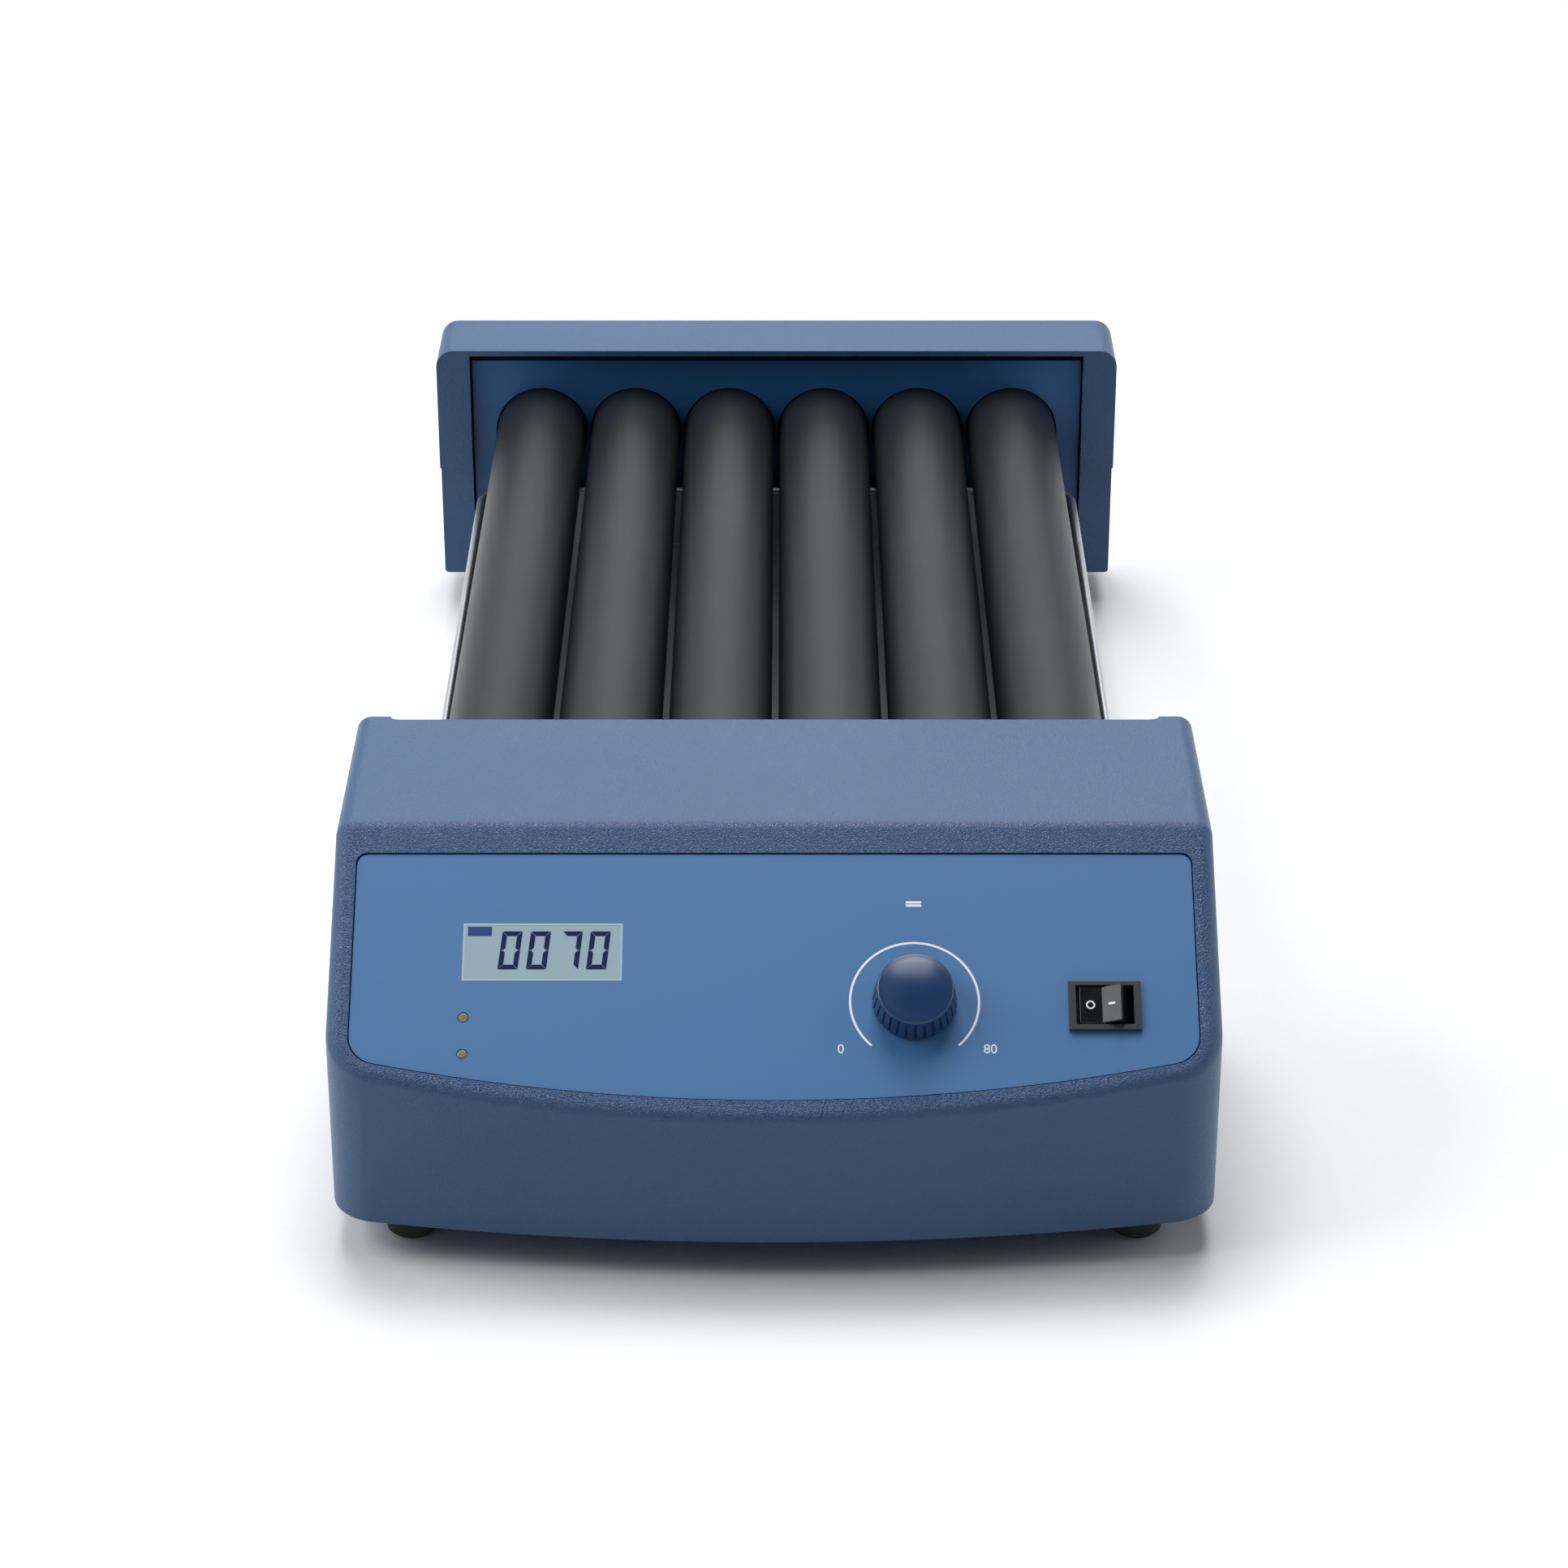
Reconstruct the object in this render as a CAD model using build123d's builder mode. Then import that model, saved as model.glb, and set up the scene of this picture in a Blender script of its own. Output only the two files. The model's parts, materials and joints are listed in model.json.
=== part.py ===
"""Roller mixer: a control housing, an end housing and six rubber rollers between them.

Millimetres. X runs across the rollers, Y along them from the controls to the end housing, Z up.
The origin is on the table, under the middle of the machine.
"""

import os
from math import asin, atan2, cos, degrees, radians, sin, sqrt, tan

from build123d import *

os.makedirs("parts", exist_ok=True)

# Overall
overall_length = 462.0
foot_height = 11.0
wall = 3.0
running = 0.05
slack = 0.3
seat_gap = 0.5

# Control housing
head_width = 235.0
head_depth = 132.4
head_top = 99.0
head_bow = 12.0
head_corner_radius = 14.0
head_edge_radius = 4.5
lower_fold_height = 49.0
panel_slope = 36.0
ear_length = 2.0
ear_width = 9.5
bulkhead_gap = 1.0

# End housing
rear_width = 234.0
rear_depth = 34.6
rear_top = 95.0
rear_seam = 51.5
rear_step = 0.4
rear_rim_width = 11.5
rear_corner_radius = 6.0
rear_foot_radius = 2.2
rear_recess = 4.0
rear_panel_seam = 0.5
rear_panel_drop = 3.1
rear_lip = 2.0

# Sheet metal
plate = 3.0
chassis_plate = 2.0
chassis_half_width = 90.0
chassis_flange = 8.0
flange_reach = 12.0
frame_screw_x = 60.0

# Rollers
roller_count = 6
roller_pitch = 32.5
roller_radius = 15.25
sleeve_wall = 3.0
tube_wall = 1.5
roller_height = 63.9
rock_offset = 6.0
plug_depth = 8.0
end_flange = 2.5
far_flange = 1.0
near_gap = 3.0
far_gap = 3.0
panel_hole_clearance = 0.65

# Shafts, bushes and pulleys
stub_radius = 5.0
bush_radius = 7.0
bush_flange_radius = 9.0
bush_flange = 1.5
bush_nose = 1.0
pulley_radius = 11.0
groove_radius = 9.0
groove_width = 4.0
pulley_rib = 2.0
belt_width = 3.0
belt_clearance = 0.3
drive_groove_radius = 6.0
drive_flange_radius = 8.0
drive_shaft_radius = 3.0

# Motor
motor_side = 47.5
motor_x = motor_side - head_width / 2
motor_height = 37.0
motor_radius = 17.5
motor_length = 40.0
gearbox_radius = 18.5
gearbox_length = 22.0
bracket_thickness = 2.0
bracket_half_width = 24.0
bracket_screw_x = 19.0

# Drip tray
tray_half_width = 103.4
tray_lip_height = 46.2
tray_sheet = 1.2
tray_lip_radius = 1.2
tray_end_height = 38.0
tray_corner_radius = 10.0
tray_rear_clearance = 7.4

# Control panel, measured across (u) and down the slope from the top fold (v)
panel_side = 6.5
panel_half_width = head_width / 2 - panel_side
panel_first = 8.9
panel_side_end = 68.0
panel_last = 79.7
panel_top_radius = 3.0
panel_low_radius = 8.0
panel_thickness = 1.2
panel_sunk = 0.4
panel_seam = 0.3
display_side = 49.95
display_u = display_side - panel_half_width
display_v = 37.5
display_width = 41.7
display_height = 16.2
display_depth = 12.0
lamp_side = 29.7
lamp_u = lamp_side - panel_half_width
lamp_v = (56.3, 66.7)
lamp_radius = 1.35
knob_u = 36.8
knob_v = 51.8
switch_side = 24.4
switch_u = panel_half_width - switch_side
switch_v = 53.2

# Knob and potentiometer
knob_base_radius = 10.9
knob_top_radius = 9.65
knob_skirt = 8.2
knob_dome = 1.1
knob_lift = 0.6
knob_flutes = 30
flute_radius = 0.55
knob_recess_radius = 7.0
knob_recess = 4.2
shaft_radius = 3.0
bush_thread_radius = 3.5
pot_radius = 8.2
pot_depth = 9.0
nut_across = 10.0
nut_height = 2.0

# Rocker switch
switch_width = 19.0
switch_height = 14.0
switch_bezel = 1.3
switch_body_width = 16.8
switch_body_height = 13.2
switch_depth = 18.0
switch_cavity_width = 15.2
switch_cavity_height = 11.2
switch_cavity_depth = 12.0
rocker_half_width = 7.1
rocker_top_half = 5.6
rocker_foot_half = 3.5
rocker_end_rise = 5.8
rocker_valley_rise = 4.4
rocker_foot_drop = 3.4
rocker_tilt = 12.0
rocker_length = 10.4
rocker_pivot_depth = 4.6
pivot_pin_radius = 1.0
pivot_pin_length = 0.7
pivot_gap = 0.3

# Boards, transformer, mains inlet
board_thickness = 1.6
board_width = 88.0
board_length = 62.0
board_lift = 8.0
standoff_radius = 2.8
transformer_width = 42.0
transformer_depth = 38.0
transformer_height = 32.0
inlet_y_offset = 96.0
inlet_height = 40.0
inlet_length = 31.0
inlet_width = 24.0
inlet_body_length = 27.0
inlet_body_width = 19.6
inlet_depth = 22.0
inlet_socket_length = 23.6
inlet_socket_width = 15.6
inlet_socket_depth = 16.0
inlet_flange = 1.5

# Feet and screws
foot_radius = 7.0
foot_edge = 1.0
foot_side = 20.5
foot_inset = 25.0
rear_foot_inset = 15.0
foot_recess_radius = 3.6
foot_recess = 5.0
screw_radius = 1.7
screw_head_radius = 3.0
screw_head = 2.2
screw_bite = 12.0
boss_radius = 4.2
boss_side = 11.5
boss_inset = 31.0

# Places that follow from the sizes above
front_y = -overall_length / 2
back_y = overall_length / 2
head_rear_y = front_y + head_depth
ear_y = head_rear_y + ear_length
rear_front_y = back_y - rear_depth
fold_y = front_y + (head_top - lower_fold_height) / tan(radians(panel_slope))
rim_inner_y = ear_y - wall
floor_top = foot_height + wall
deck_top = floor_top + chassis_plate
tray_floor = deck_top + chassis_flange
bulkhead_y = rim_inner_y - plate - wall
bulkhead_rear_y = bulkhead_y + plate
roller_near_y = bulkhead_rear_y + bush_nose + near_gap + end_flange
rear_panel_y = rear_front_y + rear_recess
bearing_y = rear_panel_y + plate + flange_reach + slack
bearing_mid_y = bearing_y + plate / 2
roller_far_y = bearing_y - bush_flange - far_gap - far_flange
core_radius = roller_radius - sleeve_wall
tube_bore = core_radius - tube_wall
roller_x = [roller_pitch * (i - (roller_count - 1) / 2) for i in range(roller_count)]
rock_angle = atan2(rock_offset, bearing_mid_y - roller_near_y)
hole_radius = roller_radius + panel_hole_clearance
pulley_y = bulkhead_y - bush_flange - slack
pulley_width = 3 * pulley_rib + 2 * groove_width
groove_b_y = pulley_y - pulley_rib - groove_width / 2
groove_a_y = groove_b_y - groove_width - pulley_rib
stub_front_y = pulley_y - pulley_width - pulley_rib
slope = radians(panel_slope)
normal_y = -sin(slope)
normal_z = cos(slope)
foot_x = head_width / 2 - foot_side
boss_x = head_width / 2 - boss_side
foot_front_y = front_y + foot_inset
foot_rear_y = back_y - rear_foot_inset
gear_face_y = stub_front_y - bracket_thickness - slack
bracket_screw_y = gear_face_y - flange_reach / 2
front_screw_y = bulkhead_y - flange_reach / 2
rear_screw_y = rear_panel_y + plate + flange_reach / 2
bracket_screw_places = [(motor_x + side * bracket_screw_x, bracket_screw_y) for side in (-1, 1)]
bulkhead_screw_places = [(side * frame_screw_x, front_screw_y) for side in (-1, 1)]
rear_screw_places = [(side * frame_screw_x, rear_screw_y) for side in (-1, 1)]
front_screw_places = bulkhead_screw_places + bracket_screw_places

panel_face = Plane(origin=(0, fold_y, head_top), x_dir=(1, 0, 0), z_dir=(0, normal_y, normal_z))


def face_at(height, u=0.0, v=0.0):
    """A plane parallel to the control face, height above it, centred u across and v down."""
    return Plane(
        origin=panel_face.from_local_coords((u, -v, height)),
        x_dir=(1, 0, 0),
        z_dir=(0, normal_y, normal_z),
    )


def across(y):
    """The upright plane across the machine at y, with its normal towards the controls."""
    return Plane.XZ.offset(-y)


def wall_plan(inset, last_y):
    """Plan of the control housing: straight sides, rounded corners and a bowed front."""
    half = head_width / 2 - inset
    middle = front_y + inset
    shoulder = middle + head_bow
    with BuildSketch() as plan:
        with BuildLine():
            ThreePointArc((-half, shoulder), (0, middle), (half, shoulder))
            Polyline((half, shoulder), (half, last_y), (-half, last_y), (-half, shoulder))
        make_face()
        fillet(plan.vertices().group_by(Axis.Y)[0], radius=head_corner_radius - inset)
    return plan.sketch


def head_form(inset, first_z, last_y):
    """The control housing's outer form, drawn in by inset all round."""
    low = lower_fold_height - inset * cos(slope)
    low_y = front_y + inset * sin(slope)
    top = head_top - inset
    top_y = low_y + (top - low) / tan(slope)
    reach = head_width
    with BuildPart() as form:
        with BuildSketch(Plane.XY.offset(first_z)):
            add(wall_plan(inset, last_y))
        extrude(amount=top - first_z)
        with BuildSketch(Plane.YZ):
            with BuildLine():
                Polyline(
                    (low_y - inset, first_z),
                    (low_y - inset, low - inset * tan(slope)),
                    (top_y, top),
                    (last_y, top),
                    (last_y, first_z),
                    close=True,
                )
            make_face()
        extrude(amount=reach, both=True, mode=Mode.INTERSECT)
    return form.part


def panel_outline(grow):
    """Outline of the inset control panel: straight top and sides, and a bowed lower edge."""
    half = panel_half_width + grow
    first = -(panel_first - grow)
    side_end = -(panel_side_end + grow)
    last = -(panel_last + grow)
    with BuildSketch() as outline:
        with BuildLine():
            Polyline((-half, side_end), (-half, first), (half, first), (half, side_end))
            ThreePointArc((half, side_end), (0, last), (-half, side_end))
        make_face()
        fillet(outline.vertices().group_by(Axis.Y)[-1], radius=panel_top_radius)
        fillet(outline.vertices().group_by(Axis.Y)[0], radius=panel_low_radius)
    return outline.sketch


def panel_holes(plane_height, depth, grow):
    """The openings of the control face as one solid: display, lamps, shaft and switch."""
    with BuildPart() as holes:
        with BuildSketch(face_at(plane_height)):
            with Locations((display_u, -display_v)):
                Rectangle(display_width + 2 * grow, display_height + 2 * grow)
            with Locations(*[(lamp_u, -v) for v in lamp_v]):
                Circle(lamp_radius + grow)
            with Locations((knob_u, -knob_v)):
                Circle(bush_thread_radius + grow)
            with Locations((switch_u, -switch_v)):
                Rectangle(switch_body_width + 2 * grow, switch_body_height + 2 * grow)
        extrude(amount=-depth)
    return holes.part


# Control housing cover: outer form, cavity with screw posts left standing, openings
head_post_places = [
    (side * boss_x, y)
    for side in (-1, 1)
    for y in (front_y + boss_inset, bulkhead_y - boss_radius - slack)
]

with BuildPart() as head_cavity:
    add(head_form(wall, foot_height - wall, rim_inner_y))
    with BuildSketch(Plane.XY.offset(floor_top)):
        with Locations(*head_post_places):
            Circle(boss_radius)
    extrude(amount=head_top, mode=Mode.SUBTRACT)

with BuildPart() as head_cover:
    add(head_form(0, foot_height, ear_y))
    top_face = head_cover.faces().sort_by(Axis.Z)[-1]
    sloped = head_cover.faces().filter_by(lambda f: abs(f.normal_at().Z - normal_z) < running)
    round_edges = top_face.edges() + sloped[0].edges()
    back_edge = top_face.edges().sort_by(Axis.Y)[-1]
    fillet([e for e in round_edges if e.center().Y < back_edge.center().Y - ear_length], head_edge_radius)
    add(head_cavity.part, mode=Mode.SUBTRACT)
    with BuildSketch(across(ear_y)):
        with Locations((0, (foot_height + head_top - wall) / 2)):
            Rectangle(head_width - 2 * ear_width, head_top - wall - foot_height)
    extrude(amount=wall, mode=Mode.SUBTRACT)
    with BuildSketch(across(ear_y)):
        with Locations((0, head_top - wall / 2)):
            Rectangle(head_width - 2 * ear_width, 2 * wall)
    extrude(amount=ear_length, mode=Mode.SUBTRACT)
    with BuildSketch(face_at(0)):
        add(panel_outline(panel_seam))
    extrude(amount=-(panel_sunk + panel_thickness), mode=Mode.SUBTRACT)
    add(panel_holes(0, 2 * wall, slack / 3), mode=Mode.SUBTRACT)
    with BuildSketch(Plane.XY.offset(floor_top)):
        with Locations(*head_post_places):
            Circle(screw_radius - running)
    extrude(amount=screw_bite, mode=Mode.SUBTRACT)
    inlet_y = front_y + inlet_y_offset
    with BuildSketch(Plane.YZ.offset(head_width / 2)):
        with Locations((inlet_y, inlet_height)):
            Rectangle(inlet_length + slack, inlet_width + slack)
    extrude(amount=-inlet_flange, mode=Mode.SUBTRACT)
    with BuildSketch(Plane.YZ.offset(head_width / 2)):
        with Locations((inlet_y, inlet_height)):
            Rectangle(inlet_body_length + slack, inlet_body_width + slack)
    extrude(amount=-2 * wall, mode=Mode.SUBTRACT)

head_cover.part.label = "head_cover"
export_step(head_cover.part, "parts/head_cover.step")

# Underside of the control housing, with holes for its screws and feet
base_inset = wall + slack
base_rear_y = rim_inner_y - slack

with BuildPart() as head_base:
    with BuildSketch(Plane.XY.offset(foot_height)):
        add(wall_plan(base_inset, base_rear_y))
    extrude(amount=wall)
    with BuildSketch(Plane.XY.offset(foot_height)):
        with Locations(*head_post_places):
            Circle(screw_head_radius + slack)
    extrude(amount=wall / 2, mode=Mode.SUBTRACT)
    with BuildSketch(Plane.XY.offset(foot_height)):
        with Locations(*head_post_places):
            Circle(screw_radius + slack)
        with Locations((-foot_x, foot_front_y), (foot_x, foot_front_y), *front_screw_places):
            Circle(screw_radius)
    extrude(amount=wall, mode=Mode.SUBTRACT)

head_base.part.label = "head_base"
export_step(head_base.part, "parts/head_base.step")

# Control panel
with BuildPart() as control_panel:
    with BuildSketch(face_at(-panel_sunk)):
        add(panel_outline(0))
    extrude(amount=-panel_thickness)
    add(panel_holes(0, 2 * wall, slack / 3), mode=Mode.SUBTRACT)

control_panel.part.label = "control_panel"
export_step(control_panel.part, "parts/control_panel.step")

# Display window, display module and the board that carries it
window_face = -panel_sunk
module_face = -(panel_sunk + panel_thickness)

with BuildPart() as lcd_window:
    with BuildSketch(face_at(window_face, display_u, display_v)):
        Rectangle(display_width, display_height)
    extrude(amount=-panel_thickness)

lcd_window.part.label = "lcd_window"
export_step(lcd_window.part, "parts/lcd_window.step")

with BuildPart() as lcd_module:
    with BuildSketch(face_at(module_face, display_u, display_v)):
        Rectangle(display_width, display_height)
    extrude(amount=-(display_depth + module_face))

lcd_module.part.label = "lcd_module"
export_step(lcd_module.part, "parts/lcd_module.step")

with BuildPart() as display_board:
    with BuildSketch(face_at(-display_depth, display_u, display_v + display_height / 2)):
        Rectangle(display_width + 4 * wall, 3 * display_height)
    extrude(amount=-board_thickness)

display_board.part.label = "display_board"
export_step(display_board.part, "parts/display_board.step")

with BuildPart() as indicator_lenses:
    with BuildSketch(face_at(window_face)):
        with Locations(*[(lamp_u, -v) for v in lamp_v]):
            Circle(lamp_radius)
    extrude(amount=-(display_depth + window_face))

indicator_lenses.part.label = "indicator_lenses"
export_step(indicator_lenses.part, "parts/indicator_lenses.step")

# Potentiometer, its nut and its shaft
with BuildPart() as potentiometer:
    with BuildSketch(face_at(-wall, knob_u, knob_v)):
        Circle(pot_radius)
    extrude(amount=-pot_depth)
    with BuildSketch(face_at(-wall, knob_u, knob_v)):
        Circle(bush_thread_radius)
    extrude(amount=wall + nut_height + slack)
    with BuildSketch(face_at(nut_height + wall, knob_u, knob_v)):
        Circle(shaft_radius + running)
    extrude(amount=-(nut_height + 2 * wall + pot_depth / 2), mode=Mode.SUBTRACT)

potentiometer.part.label = "potentiometer"
export_step(potentiometer.part, "parts/potentiometer.step")

with BuildPart() as potentiometer_nut:
    with BuildSketch(face_at(-panel_sunk, knob_u, knob_v)):
        RegularPolygon(nut_across / 2, 6, major_radius=False)
        Circle(bush_thread_radius, mode=Mode.SUBTRACT)
    extrude(amount=nut_height)

potentiometer_nut.part.label = "potentiometer_nut"
export_step(potentiometer_nut.part, "parts/potentiometer_nut.step")

shaft_tip = knob_lift + knob_recess + knob_skirt / 3
shaft_root = -(wall + pot_depth / 2 - slack)

with BuildPart() as potentiometer_shaft:
    with BuildSketch(face_at(shaft_root, knob_u, knob_v)):
        Circle(shaft_radius)
    extrude(amount=shaft_tip - shaft_root)

potentiometer_shaft.part.label = "potentiometer_shaft"
export_step(potentiometer_shaft.part, "parts/potentiometer_shaft.step")

# Speed knob: flared fluted skirt under a low dome
knob_foot = knob_lift - panel_sunk
knob_plane = face_at(knob_foot, knob_u, knob_v)
knob_section = Plane(origin=knob_plane.origin, x_dir=(1, 0, 0), z_dir=-knob_plane.y_dir)
knob_lean = degrees(atan2(knob_base_radius - knob_top_radius, knob_skirt))
dome_radius = (knob_top_radius**2 + knob_dome**2) / (2 * knob_dome)
dome_half = asin(knob_top_radius / dome_radius) / 2
dome_shoulder = knob_skirt + knob_dome - dome_radius * (1 - cos(dome_half))
flute_line = (knob_base_radius + knob_top_radius) / 2

with BuildPart() as speed_knob:
    with BuildSketch(knob_section):
        with BuildLine():
            Polyline(
                (0, knob_skirt + knob_dome),
                (0, 0),
                (knob_base_radius, 0),
                (knob_top_radius, knob_skirt),
            )
            ThreePointArc(
                (knob_top_radius, knob_skirt),
                (dome_radius * sin(dome_half), dome_shoulder),
                (0, knob_skirt + knob_dome),
            )
        make_face()
    revolve(axis=Axis(knob_plane.origin, knob_plane.z_dir))
    with Locations(knob_plane.offset(knob_skirt / 2 - flute_radius)):
        with PolarLocations(flute_line, knob_flutes):
            Cylinder(flute_radius, knob_skirt, rotation=(0, -knob_lean, 0), mode=Mode.SUBTRACT)
    with BuildSketch(knob_plane):
        Circle(knob_recess_radius)
    extrude(amount=knob_recess, mode=Mode.SUBTRACT)
    with BuildSketch(knob_plane):
        Circle(shaft_radius)
    extrude(amount=shaft_tip - knob_foot, mode=Mode.SUBTRACT)

speed_knob.part.label = "speed_knob"
export_step(speed_knob.part, "parts/speed_knob.step")

# Rocker switch: frame with its body, and the rocker with its right end raised
pivot_height = switch_bezel - panel_sunk - rocker_pivot_depth
frame_top = switch_bezel - panel_sunk
pivot_pin_reach = rocker_length / 2 + pivot_pin_length
pivot_plane = Plane(
    origin=face_at(pivot_height, switch_u, switch_v).origin,
    x_dir=(1, 0, 0),
    z_dir=panel_face.y_dir,
)

with BuildPart() as switch_housing:
    with BuildSketch(face_at(-panel_sunk, switch_u, switch_v)):
        Rectangle(switch_width, switch_height)
    extrude(amount=switch_bezel)
    chamfer(switch_housing.faces().sort_by(Axis.Z)[-1].edges(), length=slack)
    with BuildSketch(face_at(-panel_sunk, switch_u, switch_v)):
        Rectangle(switch_body_width, switch_body_height)
    extrude(amount=-switch_depth)
    with BuildSketch(face_at(frame_top, switch_u, switch_v)):
        Rectangle(switch_cavity_width, switch_cavity_height)
    extrude(amount=-switch_cavity_depth, mode=Mode.SUBTRACT)
    with BuildSketch(pivot_plane):
        Circle(pivot_pin_radius + running)
    extrude(amount=pivot_pin_reach + pivot_gap, both=True, mode=Mode.SUBTRACT)

switch_housing.part.label = "switch_housing"
export_step(switch_housing.part, "parts/switch_housing.step")

tilt = radians(rocker_tilt)
rocker_plane = Plane(
    origin=pivot_plane.origin,
    x_dir=(cos(tilt), sin(tilt) * normal_y, sin(tilt) * normal_z),
    z_dir=-pivot_plane.z_dir,
)

with BuildPart() as switch_rocker:
    with BuildSketch(rocker_plane):
        with BuildLine():
            Polyline(
                (-rocker_top_half, rocker_end_rise),
                (0, rocker_valley_rise),
                (rocker_top_half, rocker_end_rise),
                (rocker_half_width, 0),
                (rocker_foot_half, -rocker_foot_drop),
                (-rocker_foot_half, -rocker_foot_drop),
                (-rocker_half_width, 0),
                close=True,
            )
        make_face()
    extrude(amount=rocker_length / 2, both=True)
    with BuildSketch(rocker_plane):
        Circle(pivot_pin_radius)
    extrude(amount=pivot_pin_reach, both=True)

switch_rocker.part.label = "switch_rocker"
export_step(switch_rocker.part, "parts/switch_rocker.step")

# Chassis: a deck with two upturned flanges between the housings
chassis_front_y = front_y + boss_inset
chassis_rear_y = back_y - wall - rear_recess
flange_front_y = ear_y + seat_gap
flange_rear_y = rear_front_y - seat_gap
chassis_mid_y = (chassis_front_y + chassis_rear_y) / 2
flange_mid_y = (flange_front_y + flange_rear_y) / 2
chassis_flange_x = chassis_half_width - chassis_plate / 2

with BuildPart() as chassis:
    with BuildSketch(Plane.XY.offset(floor_top)):
        with Locations((0, chassis_mid_y)):
            Rectangle(2 * chassis_half_width, chassis_rear_y - chassis_front_y)
        with Locations(*front_screw_places, *rear_screw_places):
            Circle(screw_radius, mode=Mode.SUBTRACT)
    extrude(amount=chassis_plate)
    with BuildSketch(Plane.XY.offset(deck_top)):
        with Locations((-chassis_flange_x, flange_mid_y), (chassis_flange_x, flange_mid_y)):
            Rectangle(chassis_plate, flange_rear_y - flange_front_y)
    extrude(amount=chassis_flange)

chassis.part.label = "chassis"
export_step(chassis.part, "parts/chassis.step")


def flanged_wall(y, base, half_width, low_half, top, hole, foot_side, screw_y):
    """An upright sheet wall with six round holes and a screwed flange along its lower edge."""
    wide_from = deck_top + chassis_flange
    with BuildPart() as sheet:
        with BuildSketch(across(y)):
            with Locations((0, (wide_from + top) / 2)):
                Rectangle(2 * half_width, top - wide_from)
            with Locations((0, (base + wide_from) / 2)):
                Rectangle(2 * low_half, wide_from - base)
            with Locations(*[(x, roller_height) for x in roller_x]):
                Circle(hole, mode=Mode.SUBTRACT)
        extrude(amount=-plate)
        with BuildSketch(Plane.XY.offset(base)):
            with Locations((0, y + plate / 2 + foot_side * (plate + flange_reach) / 2)):
                Rectangle(2 * low_half, flange_reach)
            with Locations(*[(side * frame_screw_x, screw_y) for side in (-1, 1)]):
                Circle(screw_radius, mode=Mode.SUBTRACT)
        extrude(amount=chassis_plate)
    return sheet.part


# Wall between the controls and the rollers, which carries the near bearings
bulkhead_half = (head_width / 2 - ear_width - bulkhead_gap, chassis_half_width - chassis_plate)
bulkhead_top = head_top - wall - seat_gap

with BuildPart() as head_bulkhead:
    add(flanged_wall(bulkhead_y, deck_top, *bulkhead_half, bulkhead_top, bush_radius, -1, front_screw_y))

head_bulkhead.part.label = "head_bulkhead"
export_step(head_bulkhead.part, "parts/head_bulkhead.step")

# End housing: recessed panel with the roller holes, and the bearing plate screwed on behind it
rear_opening_half = rear_width / 2 - rear_rim_width
rear_panel_half = rear_opening_half - rear_panel_seam
rear_panel_top = rear_top - rear_lip - rear_panel_drop
bearing_foot = deck_top + chassis_plate
rear_half = (rear_panel_half, rear_panel_half)

with BuildPart() as rear_panel:
    add(flanged_wall(rear_panel_y, deck_top, *rear_half, rear_panel_top, hole_radius, 1, rear_screw_y))

rear_panel.part.label = "rear_panel"
export_step(rear_panel.part, "parts/rear_panel.step")

with BuildPart() as bearing_plate:
    add(flanged_wall(bearing_y, bearing_foot, *rear_half, rear_panel_top, bush_radius, -1, rear_screw_y))

bearing_plate.part.label = "bearing_plate"
export_step(bearing_plate.part, "parts/bearing_plate.step")

rear_post_y = back_y - wall - boss_radius + running
rear_post_places = [(side * (rear_opening_half + boss_radius / 2), rear_post_y) for side in (-1, 1)]
rear_head_depth = rear_seam - foot_height - 3 * wall
rear_inner_half = rear_width / 2 - wall
rear_mid_y = (rear_front_y + back_y) / 2


def rear_rim(first_z, last_z):
    """The opening in the end housing's front, between its wide side rims."""
    with BuildPart() as opening:
        with BuildSketch(across(rear_front_y)):
            with Locations((0, (first_z + last_z) / 2)):
                Rectangle(2 * rear_opening_half, last_z - first_z)
        extrude(amount=-wall)
    return opening.part


with BuildPart() as rear_cover:
    with BuildSketch(Plane.XY.offset(rear_seam)):
        with Locations((0, rear_mid_y)):
            Rectangle(rear_width, rear_depth)
    extrude(amount=rear_top - rear_seam)
    upper = rear_cover.edges().group_by(Axis.Z)[-1]
    upright = rear_cover.edges().filter_by(Axis.Z).group_by(Axis.Y)[-1]
    rounded = upper.filter_by(Axis.Y) + upper.filter_by(Axis.X).sort_by(Axis.Y)[-1:] + upright
    fillet(rounded, radius=rear_corner_radius)
    with BuildSketch(Plane.XY.offset(rear_seam)):
        with Locations((0, rear_mid_y)):
            Rectangle(rear_width - 2 * wall, rear_depth - 2 * wall)
        with Locations(*rear_post_places):
            Circle(boss_radius, mode=Mode.SUBTRACT)
    extrude(amount=rear_top - wall - rear_seam, mode=Mode.SUBTRACT)
    add(rear_rim(rear_seam, rear_top - rear_lip), mode=Mode.SUBTRACT)
    with BuildSketch(Plane.XY.offset(rear_seam)):
        with Locations(*rear_post_places):
            Circle(screw_radius - running)
    extrude(amount=screw_bite, mode=Mode.SUBTRACT)

rear_cover.part.label = "rear_cover"
export_step(rear_cover.part, "parts/rear_cover.step")

base_width = rear_width - 2 * rear_step
base_back_y = back_y - rear_step
base_front_y = rear_front_y + rear_step
base_mid_y = (base_front_y + base_back_y) / 2

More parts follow.
